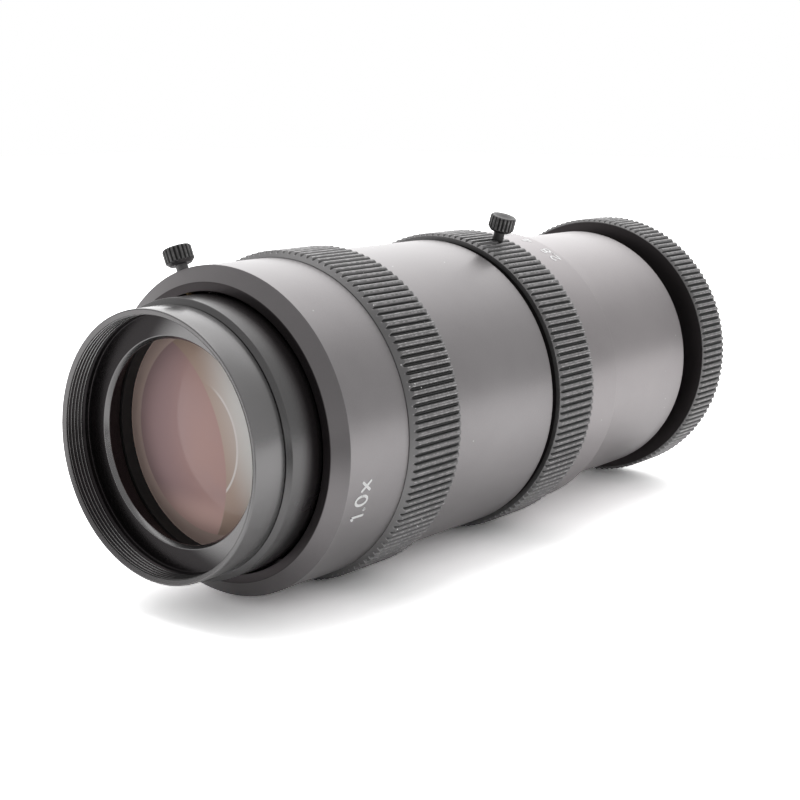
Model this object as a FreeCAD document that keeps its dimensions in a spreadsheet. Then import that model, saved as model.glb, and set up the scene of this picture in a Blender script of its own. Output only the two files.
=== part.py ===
"""Large telecentric lens, 1x, with focus ring, iris ring and turning camera mount.

Frame: millimetres, +Z along the optical axis. The lens stands on its camera end at z = 0, nose up.
The side that faces up when the lens lies on a table is -Y. A bearing is an angle about +Z from -Y.
The main parts are turned, so each is an outline in the plane of the axis, revolved.
"""
import FreeCAD, Part
import math
import os
import re

import Sketcher

PARTS_FOLDER = "parts"
TOP = FreeCAD.Vector(0, -1, 0)
AXIS = FreeCAD.Vector(0, 0, 1)
ORIGIN = FreeCAD.Vector(0, 0, 0)
SLOT_STEPS = 6

# Driving sizes in millimetres and degrees: name, value, meaning
SIZES = [
    ("mount_thread_length", 7.0, "male camera thread behind the mount ring"),
    ("mount_ring_width", 13.3, "knurled ring at the camera end"),
    ("neck_length", 7.1, "dark neck between the mount ring and the rear tube"),
    ("rear_tube_length", 44.7, "smooth rear tube"),
    ("band_width", 14.3, "smooth band behind the iris ring"),
    ("iris_ring_width", 16.6, "knurled iris ring"),
    ("iris_gap", 2.2, "dark groove in front of the iris ring"),
    ("mid_barrel_length", 42.4, "smooth middle barrel"),
    ("focus_ring_width", 19.2, "knurled focus ring"),
    ("front_body_length", 21.0, "cylinder of the front housing"),
    ("collar_cone_length", 2.5, "cone at the mouth of the front housing"),
    ("nose_reach", 10.1, "sleeve that shows in front of the housing at rest"),
    ("nose_length", 9.6, "nose barrel in front of its seam"),
    ("body_step", 2.1, "how far the housing and the middle barrel stand off the ring journals"),
    ("band_step", 0.2, "how far the band behind the iris ring stands off the middle barrel"),
    ("rear_tube_wall", 4.3, "wall of the rear tube"),
    ("neck_wall", 5.5, "wall of the neck that carries the mount ring"),
    ("collar_face_width", 2.1, "flat face round the mouth of the front housing"),
    ("collar_gap", 1.0, "gap round the sleeve in that mouth"),
    ("collar_lip_depth", 11.1, "depth of that mouth"),
    ("ring_wall", 3.75, "wall of the focus ring and the iris ring"),
    ("ring_foot_step", 0.1, "how far the focus ring's foot stands off the barrel"),
    ("mount_ring_wall", 7.15, "wall of the mount ring"),
    ("barrel_wall", 4.85, "wall of the main barrel where the rings turn on it"),
    ("shoulder_step", 0.4, "lip that keeps the iris ring on its journal"),
    ("running_gap", 0.05, "radial clearance of every turning or sliding fit"),
    ("end_gap", 0.1, "end play of the turning rings"),
    ("overshoot", 1.0, "how far a cutting tool passes the face that it cuts"),
    ("flute_count", 132, "straight flutes round each large ring"),
    ("flute_depth", 0.85, "depth of a flute"),
    ("flute_mouth", 1.15, "width of a flute at the outside"),
    ("flute_floor", 0.45, "width of a flute at its floor"),
    ("ring_bevel", 0.8, "bevel at the ends of the flutes"),
    ("focus_cone", 1.6, "cone at the front of the focus ring"),
    ("nose_step", 1.0, "how far the nose barrel stands off its spigot"),
    ("rim_width", 1.5, "width of the nose rim, from outside to the filter thread"),
    ("filter_thread_length", 5.3, "length of the filter thread"),
    ("rim_bevel", 0.3, "broken edges of the nose rim"),
    ("aperture_radius", 24.7, "round opening in front of the lens"),
    ("aperture_wall", 2.0, "height of that opening's wall"),
    ("dish_depth", 1.1, "dished face between the thread and the opening"),
    ("nose_spigot_step", 1.8, "how far that spigot stands outside the front lenses"),
    ("spigot_length", 5.2, "length of that spigot"),
    ("flange_step", 1.4, "how far the front flange of the focus sleeve stands off the nose barrel"),
    ("flange_width", 1.6, "width of that flange"),
    ("flange_bevel", 0.7, "bright bevel of that flange"),
    ("waist_step", 0.6, "how far the sleeve is turned down between its flange and its guide"),
    ("sleeve_waist_taper", 3.2, "length over which the flange runs down to the waist"),
    ("sleeve_wall", 3.0, "wall of the focus sleeve where it is guided"),
    ("sleeve_guide_length", 48.0, "length of that guide"),
    ("sleeve_bore_step", 0.8, "how much wider the sleeve is behind its lenses"),
    ("front_glass_radius", 29.2, "edge of the front lenses"),
    ("front_clear_edge", 0.9, "edge of the front lenses that their rings cover"),
    ("front_curve_edge", 0.3, "flat between that edge and the curves"),
    ("lens_setback", 19.0, "front lens edge behind the rim"),
    ("retainer_height", 3.0, "retaining rings"),
    ("front_lens_edge", 4.0, "edge thickness of the front lens"),
    ("front_lens_curve", 112.0, "radius of its front surface"),
    ("front_lens_back_curve", 320.0, "radius of its back surface"),
    ("front_spacer_height", 9.0, "spacer behind the front lens"),
    ("crown_edge", 2.0, "edge thickness of the crown elements"),
    ("front_crown_curve", 92.0, "front radius of the front crown"),
    ("front_cement_curve", 86.0, "cemented radius of the front doublet"),
    ("front_flint_edge", 8.0, "edge thickness of the front flint"),
    ("sleeve_seat_width", 2.0, "seat that carries the front doublet"),
    ("front_seat_edge", 1.6, "how far that seat reaches in over the doublet"),
    ("focus_half_turn", 60.0, "focus ring travel each way from rest"),
    ("focus_lead", 18.0, "advance of the focus groove for a full turn"),
    ("focus_pin_radius", 1.5, "pin that drives the focus sleeve"),
    ("focus_pin_slack", 0.08, "clearance round that pin"),
    ("focus_groove_depth", 1.6, "depth of the helical groove in the focus ring"),
    ("focus_pin_bearing", 180.0, "bearing of the focus pin"),
    ("iris_bore_step", 1.45, "how much wider the main barrel is round the iris"),
    ("rear_spigot_wall", 2.0, "wall of the main barrel's spigot in the rear barrel"),
    ("rear_spigot_length", 10.3, "length of that spigot"),
    ("front_spigot_step", 0.7, "how far the spigot in the front housing lies below the ring journals"),
    ("blade_count", 8, "iris blades"),
    ("blade_pivot_edge", 3.5, "how far the blade pivots lie inside the iris bore"),
    ("blade_width", 7.5, "width of a blade"),
    ("blade_outer_step", 3.0, "how far the blades lie inside their pivots with the iris open"),
    ("blade_span", 92.0, "angle that a blade covers"),
    ("blade_lead_in", 4.0, "angle of a blade ahead of its pivot"),
    ("blade_pin_angle", 22.0, "angle from the pivot to the drive pin of a blade"),
    ("blade_ear_radius", 1.7, "rounding of a blade's ear at its pins"),
    ("blade_thickness", 0.15, "blade sheet"),
    ("blade_pitch", 0.25, "height from one blade to the next"),
    ("blade_pin_radius", 0.6, "pins of a blade"),
    ("blade_pin_slack", 0.05, "clearance round those pins"),
    ("blade_turn", 25.0, "turn of a blade from open to closed"),
    ("iris_turn", 50.0, "turn of the iris ring from open to closed"),
    ("iris_step_drop", 4.0, "step in front of the iris below the iris groove"),
    ("iris_plate_height", 1.5, "plate that carries the blade pivots"),
    ("cam_ring_height", 3.2, "rim of the iris cam ring"),
    ("cam_web_height", 1.2, "web of the iris cam ring"),
    ("cam_rim_width", 1.6, "width of that rim"),
    ("iris_opening_step", 1.0, "how much wider the rings round the blades open than the iris"),
    ("drive_pin_radius", 1.0, "pin from the iris ring to the cam ring"),
    ("drive_pin_bearing", 180.0, "bearing of that pin with the iris open"),
    ("drive_slot_slack", 1.0, "angle of spare travel at each end of its slot"),
    ("iris_retainer_height", 2.0, "ring that closes the iris from behind"),
    ("screw_radius", 1.5, "shank of the lock screws"),
    ("screw_head_radius", 3.6, "head of the lock screws"),
    ("screw_head_length", 4.4, "length of that head"),
    ("screw_head_bevel", 0.9, "bevel under that head"),
    ("screw_edge", 0.35, "bevel at the outer end of that head"),
    ("screw_pad_radius", 1.2, "brass pad at the tip of a lock screw"),
    ("front_screw_bearing", 22.5, "bearing of the front lock screw"),
    ("front_screw_setback", 3.3, "front lock screw behind the collar's edge"),
    ("front_pad_length", 2.4, "pad of the front lock screw"),
    ("front_screw_neck", 1.9, "shank that shows under the front head"),
    ("iris_screw_bearing", 343.0, "bearing of the iris lock screw with the iris open"),
    ("iris_screw_setback", 11.6, "iris lock screw behind the front of its ring"),
    ("iris_pad_length", 0.9, "pad of the iris lock screw"),
    ("iris_screw_neck", 2.5, "shank that shows under the iris screw's head"),
    ("rear_cell_wall", 6.0, "wall of the rear cell"),
    ("rear_mouth_step", 1.0, "how much wider the rear mouth is than the rear lenses"),
    ("rear_cell_length", 34.0, "cell that carries the rear lenses"),
    ("rear_shelf_height", 5.0, "shoulder that carries the rear cell"),
    ("rear_glass_radius", 27.0, "edge of the rear lenses"),
    ("rear_clear_edge", 1.5, "edge of the rear lenses that their rings cover"),
    ("rear_curve_edge", 0.3, "flat between that edge and the curves"),
    ("rear_seat_width", 2.0, "seat at the front of the rear cell"),
    ("rear_lens_edge", 3.0, "edge thickness of the rear single lens"),
    ("rear_lens_curve", 95.0, "radius of both its surfaces"),
    ("rear_spacer_height", 8.0, "spacer between the rear lenses"),
    ("rear_cement_curve", 70.0, "cemented radius of the rear doublet"),
    ("rear_back_curve", 90.0, "rear radius of the rear doublet"),
    ("rear_flint_edge", 7.0, "edge thickness of the rear flint"),
    ("mount_thread_wall", 3.0, "wall of the camera thread"),
    ("mount_bore_radius", 26.0, "bore of the camera thread"),
    ("mount_floor", 2.0, "floor of the mount ring"),
    ("snap_ring_height", 1.2, "snap ring that keeps the mount ring on"),
    ("snap_ring_setback", 4.0, "snap ring above the mount ring's floor"),
    ("snap_ring_bite", 1.0, "how deep the snap ring sits on each side"),
    ("snap_ring_gap", 20.0, "angle of the gap in the snap ring"),
    ("snap_ring_play", 0.15, "clearance round the snap ring in the mount ring"),
]

doc = FreeCAD.newDocument("TelecentricLens")
sheet = doc.addObject("Spreadsheet::Sheet", "Sizes")
for row, (alias, number, meaning) in enumerate(SIZES, start=1):
    sheet.set("A%d" % row, meaning)
    sheet.set("B%d" % row, str(number))
    sheet.setAlias("B%d" % row, alias)
doc.recompute()

SIZE_NAMES = {alias for alias, number, meaning in SIZES}
finished = []

# Heights of the main faces above the camera end, as sums of named sizes
MOUNT_FLOOR = "mount_thread_length"
MOUNT_TOP = f"({MOUNT_FLOOR} + mount_ring_width)"
TUBE_END = f"({MOUNT_TOP} + neck_length)"
BAND_END = f"({TUBE_END} + rear_tube_length)"
IRIS_RING_END = f"({BAND_END} + band_width)"
IRIS_RING_TOP = f"({IRIS_RING_END} + iris_ring_width)"
MID_END = f"({IRIS_RING_TOP} + iris_gap)"
FOCUS_END = f"({MID_END} + mid_barrel_length)"
FOCUS_TOP = f"({FOCUS_END} + focus_ring_width)"
COLLAR_EDGE = f"({FOCUS_TOP} + front_body_length)"
COLLAR_FACE = f"({COLLAR_EDGE} + collar_cone_length)"
SEAM = f"({COLLAR_FACE} + nose_reach)"
RIM = f"({SEAM} + nose_length)"

# Heights inside
LIP_BACK = f"({COLLAR_FACE} - collar_lip_depth)"
FOCUS_PIN_HEIGHT = f"(({FOCUS_END} + {FOCUS_TOP}) / 2)"
FOCUS_TRAVEL = "(focus_lead * focus_half_turn / 360)"
GUIDE_TOP = f"({LIP_BACK} - {FOCUS_TRAVEL})"
GUIDE_END = f"({GUIDE_TOP} - sleeve_guide_length)"
FRONT_LENS_FACE = f"({RIM} - lens_setback)"
FRONT_LENS_BACK = f"({FRONT_LENS_FACE} - front_lens_edge)"
FRONT_CROWN_FACE = f"({FRONT_LENS_BACK} - front_spacer_height)"
FRONT_CEMENT = f"({FRONT_CROWN_FACE} - crown_edge)"
FRONT_SEAT = f"({FRONT_CEMENT} - front_flint_edge)"
IRIS_STEP = f"({MID_END} - iris_step_drop)"
BLADE_TOP = f"({IRIS_STEP} - iris_plate_height)"
CAM_TOP = f"({BLADE_TOP} - (blade_count + 1) * blade_pitch)"
CAM_END = f"({CAM_TOP} - cam_ring_height)"
IRIS_RETAINER_TOP = f"({CAM_END} - end_gap)"
DRIVE_PIN_HEIGHT = f"(({CAM_TOP} + {CAM_END}) / 2)"
SPIGOT_END = f"({IRIS_RING_END} - rear_spigot_length)"
REAR_SHELF = f"({TUBE_END} + rear_shelf_height)"
REAR_CELL_TOP = f"({REAR_SHELF} + rear_cell_length)"
REAR_LENS_FACE = f"({REAR_CELL_TOP} - rear_seat_width)"
REAR_LENS_BACK = f"({REAR_LENS_FACE} - rear_lens_edge)"
REAR_CROWN_FACE = f"({REAR_LENS_BACK} - rear_spacer_height)"
REAR_CEMENT = f"({REAR_CROWN_FACE} - crown_edge)"
REAR_FLINT_BACK = f"({REAR_CEMENT} - rear_flint_edge)"
NECK_END = f"({MOUNT_FLOOR} + mount_floor + end_gap)"
SNAP_END = f"({MOUNT_FLOOR} + mount_floor + snap_ring_setback)"
SNAP_TOP = f"({SNAP_END} + snap_ring_height)"
FRONT_SCREW_HEIGHT = f"({COLLAR_EDGE} - front_screw_setback)"
IRIS_SCREW_HEIGHT = f"({IRIS_RING_TOP} - iris_screw_setback)"

# Radii from the front lenses outward
FRONT_CLEAR = "(front_glass_radius - front_clear_edge)"
FRONT_CURVE = f"({FRONT_CLEAR} - front_curve_edge)"
FRONT_SEAT_BORE = "(front_glass_radius - front_seat_edge)"
SLEEVE_BORE = "(front_glass_radius + sleeve_bore_step)"
GUIDE = f"({SLEEVE_BORE} + sleeve_wall)"
WAIST = f"({GUIDE} - waist_step)"
BARREL_BORE = f"({GUIDE} + running_gap)"
JOURNAL = f"({BARREL_BORE} + barrel_wall)"
RING_BORE = f"({JOURNAL} + running_gap)"
RING = f"({RING_BORE} + ring_wall)"
BODY = f"({JOURNAL} + body_step)"
BAND = f"({BODY} + band_step)"
FRONT_SPIGOT = f"({JOURNAL} - front_spigot_step)"
COLLAR_BORE = f"({GUIDE} + collar_gap)"
COLLAR_RIM = f"({COLLAR_BORE} + collar_face_width)"
NOSE_SPIGOT = "(front_glass_radius + nose_spigot_step)"
NOSE = f"({NOSE_SPIGOT} + nose_step)"
FILTER_WALL = f"({NOSE} - rim_width)"
FLANGE = f"({NOSE} + flange_step)"
IRIS_BORE = f"({BARREL_BORE} + iris_bore_step)"
REAR_SPIGOT = f"({IRIS_BORE} + rear_spigot_wall)"
BLADE_PIVOT = f"({IRIS_BORE} - blade_pivot_edge)"
BLADE_OUTER = f"({BLADE_PIVOT} - blade_outer_step)"
BLADE_INNER = f"({BLADE_OUTER} - blade_width)"
IRIS_OPENING = f"({BLADE_INNER} + iris_opening_step)"

# Radii from the rear lenses outward
REAR_CLEAR = "(rear_glass_radius - rear_clear_edge)"
REAR_CURVE = f"({REAR_CLEAR} - rear_curve_edge)"
REAR_MOUTH = "(rear_glass_radius + rear_mouth_step)"
REAR_BORE = "(rear_glass_radius + rear_cell_wall)"
REAR_TUBE = f"({REAR_BORE} + rear_tube_wall)"
NECK = f"({REAR_MOUTH} + neck_wall)"
NECK_BORE = f"({NECK} + running_gap)"
MOUNT_RING = f"({NECK_BORE} + mount_ring_wall)"
MOUNT_THREAD = "(mount_bore_radius + mount_thread_wall)"


def bind(text):
    """The same sum with each size named as the sheet's cell."""
    return re.sub(r"[a-z_]+", lambda m: f"Sizes.{m.group()}" if m.group() in SIZE_NAMES else m.group(), text)


def value(text):
    """A size, or a sum of sizes, as a number."""
    return float(sheet.evalExpression(bind(text)))


def bearing_direction(angle):
    """The outward direction at a bearing."""
    return FreeCAD.Rotation(AXIS, angle).multVec(TOP)


# Sketches

def fix_coordinate(sketch, kind, axis, edge, text):
    """Ties one coordinate of an edge's start to a sum of sizes."""
    number = value(text)
    if abs(number) < 1e-9:
        sketch.addConstraint(Sketcher.Constraint("PointOnObject", edge, 1, axis))
        return
    ends = (-1, 1, edge, 1) if number > 0 else (edge, 1, -1, 1)
    index = sketch.addConstraint(Sketcher.Constraint(kind, *ends, abs(number)))
    sketch.setExpression(f"Constraints[{index}]", bind(text if number > 0 else f"-({text})"))


def new_sketch(body, name, role="XZ_Plane", bearing=None):
    """A sketch on one of the body's own origin planes, turned to a bearing about the optical axis."""
    plane = next(feature for feature in body.Origin.OriginFeatures if feature.Role == role)
    sketch = body.newObject("Sketcher::SketchObject", name)
    sketch.AttachmentSupport = [(plane, "")]
    sketch.MapMode = "FlatFace"
    if bearing is not None:
        turn = FreeCAD.Rotation(FreeCAD.Vector(0, 1, 0), value(bearing))
        sketch.AttachmentOffset = FreeCAD.Placement(ORIGIN, turn)
    return sketch


def outline(sketch, corners):
    """A closed chain of straight lines whose corners are sums of sizes."""
    points = [FreeCAD.Vector(value(x), value(y), 0) for x, y in corners]
    count = len(points)
    for index, start in enumerate(points):
        sketch.addGeometry(Part.LineSegment(start, points[(index + 1) % count]), False)
    for index in range(count):
        sketch.addConstraint(Sketcher.Constraint("Coincident", index, 2, (index + 1) % count, 1))
    for index, (x, y) in enumerate(corners):
        fix_coordinate(sketch, "DistanceX", -2, index, x)
        fix_coordinate(sketch, "DistanceY", -1, index, y)
    return sketch


def circle(sketch, height, radius):
    """A circle on the sketch's upright axis."""
    centre = FreeCAD.Vector(0, value(height), 0)
    edge = sketch.addGeometry(Part.Circle(centre, AXIS, value(radius)), False)
    sketch.addConstraint(Sketcher.Constraint("PointOnObject", edge, 3, -2))
    index = sketch.addConstraint(Sketcher.Constraint("DistanceY", -1, 1, edge, 3, centre.y))
    sketch.setExpression(f"Constraints[{index}]", bind(height))
    index = sketch.addConstraint(Sketcher.Constraint("Radius", edge, value(radius)))
    sketch.setExpression(f"Constraints[{index}]", bind(radius))
    return sketch


def upright_slot(sketch, low, high, radius):
    """A slot along the sketch's upright axis, round at both ends."""
    half, bottom, top = value(radius), value(low), value(high)
    circle = Part.Circle(FreeCAD.Vector(0, top, 0), AXIS, half)
    sketch.addGeometry(Part.ArcOfCircle(circle, 0, math.pi), False)
    lower_circle = Part.Circle(FreeCAD.Vector(0, bottom, 0), AXIS, half)
    sketch.addGeometry(Part.ArcOfCircle(lower_circle, math.pi, 2 * math.pi), False)
    left, right = FreeCAD.Vector(-half, 0, 0), FreeCAD.Vector(half, 0, 0)
    low_centre, high_centre = FreeCAD.Vector(0, bottom, 0), FreeCAD.Vector(0, top, 0)
    sketch.addGeometry(Part.LineSegment(high_centre + left, low_centre + left), False)
    sketch.addGeometry(Part.LineSegment(low_centre + right, high_centre + right), False)
    for first, first_end, second, second_end in ((0, 2, 2, 1), (2, 2, 1, 1), (1, 2, 3, 1), (3, 2, 0, 1)):
        sketch.addConstraint(Sketcher.Constraint("Tangent", first, first_end, second, second_end))
    for arc, height in ((0, high), (1, low)):
        sketch.addConstraint(Sketcher.Constraint("PointOnObject", arc, 3, -2))
        index = sketch.addConstraint(Sketcher.Constraint("DistanceY", -1, 1, arc, 3, value(height)))
        sketch.setExpression(f"Constraints[{index}]", bind(height))
    index = sketch.addConstraint(Sketcher.Constraint("Radius", 0, half))
    sketch.setExpression(f"Constraints[{index}]", bind(radius))
    return sketch


# Features

def turned(name, corners):
    """A body revolved about the optical axis from its outline."""
    body = doc.addObject("PartDesign::Body", name)
    profile = outline(new_sketch(body, f"{name}_profile"), corners)
    turn = body.newObject("PartDesign::Revolution", f"{name}_turning")
    turn.Profile = profile
    turn.ReferenceAxis = (profile, ["V_Axis"])
    turn.Angle = 360
    return keep(body)


def keep(piece):
    """Adds a finished sub-part to the list that is written out."""
    piece.Label = piece.Name
    finished.append(piece)
    return piece


def cut_outward(body, sketch, length):
    """A pocket from the sketch's plane outward along its normal, which must remove material."""
    doc.recompute()
    before = body.Shape.Volume
    pocket = body.newObject("PartDesign::Pocket", f"{sketch.Name}_cut")
    pocket.Profile = sketch
    pocket.Type = 0
    pocket.Length = value(length)
    pocket.setExpression("Length", bind(length))
    pocket.Reversed = True
    body.Tip = pocket
    doc.recompute()
    if not body.Shape.Volume < before:
        raise ValueError(f"{sketch.Name} cuts nothing")
    return pocket


def repeat_round(body, feature, sketch, count):
    """Copies a feature evenly round the sketch's normal."""
    pattern = body.newObject("PartDesign::PolarPattern", f"{feature.Name}_pattern")
    pattern.Originals = [feature]
    pattern.Axis = (sketch, ["N_Axis"])
    pattern.Angle = 360
    pattern.setExpression("Occurrences", bind(count))
    body.Tip = pattern
    return pattern


def flutes(body, outer, height):
    """Straight flutes along the axis, cut from the ring's outside and repeated round it."""
    beyond = f"({outer} + overshoot / 2)"
    flare = "(flute_mouth + (flute_mouth - flute_floor) * overshoot / 2 / flute_depth)"
    sketch = outline(new_sketch(body, f"{body.Name}_flute", "XY_Plane"), [
        (f"{outer} - flute_depth", "-flute_floor / 2"),
        (beyond, f"-{flare} / 2"),
        (beyond, f"{flare} / 2"),
        (f"{outer} - flute_depth", "flute_floor / 2"),
    ])
    cut = cut_outward(body, sketch, height)
    return repeat_round(body, cut, sketch, "flute_count")


def radial_hole(body, name, bearing, height, radius, reach):
    """A round hole from the axis outward at a bearing."""
    return cut_outward(body, circle(new_sketch(body, name, bearing=bearing), height, radius), reach)


# Glass

def round_tool(kind, name, radius, height):
    """A cylinder or a sphere on the optical axis, at a height."""
    tool = doc.addObject(kind, name)
    tool.setExpression("Radius", bind(radius))
    tool.setExpression("Placement.Base.z", bind(height))
    return tool


def surface_ball(name, clear, edge, curve, side):
    """The sphere of a lens surface, with its centre on the given side of the edge, +1 up or -1 down."""
    return round_tool("Part::Sphere", name, curve, f"{edge} + {side} * sqrt({curve} ^ 2 - {clear} ^ 2)")


def lens(name, radius, clear, front, back):
    """A lens element with a ground flat outside its curves.

    Each surface is its edge height, its radius of curvature and whether it is convex, hollow or flat.
    """
    disc = round_tool("Part::Cylinder", f"{name}_disc", radius, back[0])
    disc.setExpression("Height", bind(f"{front[0]} - {back[0]}"))
    shape = disc
    for label, (edge, curve, form), outward in (("front", front, 1), ("back", back, -1)):
        if form == "hollow":
            hollow = surface_ball(f"{name}_{label}_ball", clear, edge, curve, outward)
            shape = combine("Part::Cut", f"{name}_{label}", shape, hollow)
        if form == "convex":
            sphere = surface_ball(f"{name}_{label}_ball", clear, edge, curve, -outward)
            dome_reach = f"({curve} - sqrt({curve} ^ 2 - {clear} ^ 2) + overshoot)"
            base = edge if outward > 0 else f"{edge} - {dome_reach}"
            core = round_tool("Part::Cylinder", f"{name}_{label}_core", clear, base)
            core.setExpression("Height", bind(dome_reach))
            dome = combine("Part::Common", f"{name}_{label}_dome", core, sphere)
            shape = combine("Part::Fuse", f"{name}_{label}", shape, dome)
            shape.Refine = True
    shape.Label = name
    finished.append(shape)
    return shape


def combine(kind, name, base, tool):
    """A boolean of two shapes."""
    result = doc.addObject(kind, name)
    result.Base = base
    result.Tool = tool
    return result


# Nose: everything that slides in and out with focus

def nose_barrel():
    """Front cap with the filter thread's wall, the dished face and the flared baffle before the lens."""
    face_back = f"({RIM} - rim_bevel - filter_thread_length)"
    dish_low = f"({face_back} - dish_depth)"
    wall_low = f"({dish_low} - aperture_wall)"
    spigot_end = f"({SEAM} - spigot_length)"
    turned("nose_barrel", [
        (NOSE_SPIGOT, spigot_end),
        (NOSE_SPIGOT, SEAM),
        (f"{NOSE} - rim_bevel / 2", SEAM),
        (NOSE, f"{SEAM} + rim_bevel / 2"),
        (NOSE, f"{RIM} - rim_bevel"),
        (f"{NOSE} - rim_bevel", RIM),
        (f"{FILTER_WALL} + rim_bevel", RIM),
        (FILTER_WALL, f"{RIM} - rim_bevel"),
        (FILTER_WALL, face_back),
        ("aperture_radius", dish_low),
        ("aperture_radius", wall_low),
        (FRONT_CLEAR, spigot_end),
    ])


def focus_sleeve():
    """Sleeve that carries the nose barrel and the front lenses and is guided in the main barrel."""
    flange_low = f"({SEAM} - flange_width)"
    body = turned("focus_sleeve", [
        (SLEEVE_BORE, GUIDE_END),
        (GUIDE, GUIDE_END),
        (GUIDE, GUIDE_TOP),
        (WAIST, f"{GUIDE_TOP} + waist_step"),
        (WAIST, f"{flange_low} - sleeve_waist_taper"),
        (FLANGE, flange_low),
        (FLANGE, f"{SEAM} - flange_bevel"),
        (f"{FLANGE} - flange_bevel", SEAM),
        (NOSE_SPIGOT, SEAM),
        (NOSE_SPIGOT, f"{SEAM} - spigot_length"),
        ("front_glass_radius", f"{SEAM} - spigot_length"),
        ("front_glass_radius", FRONT_SEAT),
        (FRONT_SEAT_BORE, FRONT_SEAT),
        (FRONT_SEAT_BORE, f"{FRONT_SEAT} - sleeve_seat_width"),
        (SLEEVE_BORE, f"{FRONT_SEAT} - sleeve_seat_width"),
    ])
    radial_hole(body, "sleeve_pin_hole", "focus_pin_bearing", FOCUS_PIN_HEIGHT, "focus_pin_radius",
                f"{GUIDE} + overshoot")


def front_group():
    """Front lens, its retaining ring, the spacer and the cemented doublet behind it."""
    turned("front_retaining_ring", [
        (FRONT_CLEAR, FRONT_LENS_FACE),
        ("front_glass_radius", FRONT_LENS_FACE),
        ("front_glass_radius", f"{FRONT_LENS_FACE} + retainer_height"),
        (f"{FRONT_CLEAR} + rim_bevel", f"{FRONT_LENS_FACE} + retainer_height"),
    ])
    lens("front_lens", "front_glass_radius", FRONT_CURVE,
         (FRONT_LENS_FACE, "front_lens_curve", "convex"),
         (FRONT_LENS_BACK, "front_lens_back_curve", "convex"))
    turned("front_spacer", [
        (FRONT_CLEAR, FRONT_CROWN_FACE),
        ("front_glass_radius", FRONT_CROWN_FACE),
        ("front_glass_radius", FRONT_LENS_BACK),
        (FRONT_CLEAR, FRONT_LENS_BACK),
    ])
    lens("front_crown", "front_glass_radius", FRONT_CURVE,
         (FRONT_CROWN_FACE, "front_crown_curve", "convex"), (FRONT_CEMENT, "front_cement_curve", "convex"))
    lens("front_flint", "front_glass_radius", FRONT_CURVE,
         (FRONT_CEMENT, "front_cement_curve", "hollow"), (FRONT_SEAT, "front_cement_curve", "flat"))


def radial_pin(name, radius, length, bearing, start, height):
    """A plain pin that points outward at a bearing."""
    pin = doc.addObject("Part::Cylinder", name)
    pin.setExpression("Radius", bind(radius))
    pin.setExpression("Height", bind(length))
    stand_radially(pin, bearing, start, height)
    return keep(pin)


def stand_radially(piece, bearing, start, height):
    """Lays a piece that was made along +Z so that it points outward at a bearing."""
    angle = value(bearing)
    spot = bearing_direction(angle) * value(start)
    spot.z = value(height)
    lay = FreeCAD.Rotation(AXIS, angle) * FreeCAD.Rotation(FreeCAD.Vector(1, 0, 0), 90)
    piece.Placement = FreeCAD.Placement(spot, lay)


def focus_pin():
    """Pin in the focus sleeve, through the main barrel's slot, into the focus ring's groove."""
    start = f"({SLEEVE_BORE} + running_gap)"
    tip = f"({RING_BORE} + focus_groove_depth - 2 * focus_pin_slack)"
    radial_pin("focus_pin", "focus_pin_radius", f"{tip} - {start}",
               "focus_pin_bearing", start, FOCUS_PIN_HEIGHT)


# Barrel: the fixed pieces

def front_housing():
    """Collar with its flat face and cone, and the front cylinder, in one piece."""
    body = turned("front_housing", [
        (FRONT_SPIGOT, FOCUS_TOP),
        (BODY, FOCUS_TOP),
        (BODY, COLLAR_EDGE),
        (COLLAR_RIM, COLLAR_FACE),
        (COLLAR_BORE, COLLAR_FACE),
        (COLLAR_BORE, LIP_BACK),
        (FRONT_SPIGOT, LIP_BACK),
    ])
    radial_hole(body, "front_screw_hole", "front_screw_bearing", FRONT_SCREW_HEIGHT,
                "screw_radius + running_gap", f"{BODY} + overshoot")


def main_barrel():
    """Middle barrel with the journals of both rings, the sleeve's guide and the iris seat."""
    body = turned("main_barrel", [
        (BARREL_BORE, IRIS_STEP),
        (BARREL_BORE, LIP_BACK),
        (FRONT_SPIGOT, LIP_BACK),
        (FRONT_SPIGOT, FOCUS_TOP),
        (JOURNAL, FOCUS_TOP),
        (JOURNAL, FOCUS_END),
        (BODY, FOCUS_END),
        (BODY, MID_END),
        (f"{JOURNAL} + shoulder_step", MID_END),
        (f"{JOURNAL} + shoulder_step", f"{IRIS_RING_TOP} + end_gap"),
        (JOURNAL, f"{IRIS_RING_TOP} + end_gap"),
        (JOURNAL, IRIS_RING_END),
        (REAR_SPIGOT, IRIS_RING_END),
        (REAR_SPIGOT, SPIGOT_END),
        (IRIS_BORE, SPIGOT_END),
        (IRIS_BORE, IRIS_STEP),
    ])
    slot = new_sketch(body, "focus_slot", bearing="focus_pin_bearing")
    upright_slot(slot, f"{FOCUS_PIN_HEIGHT} - {FOCUS_TRAVEL} - focus_pin_slack",
                 f"{FOCUS_PIN_HEIGHT} + {FOCUS_TRAVEL} + focus_pin_slack",
                 "focus_pin_radius + focus_pin_slack")
    cut_outward(body, slot, f"{JOURNAL} + overshoot")
    drive_slot(body)


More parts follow.
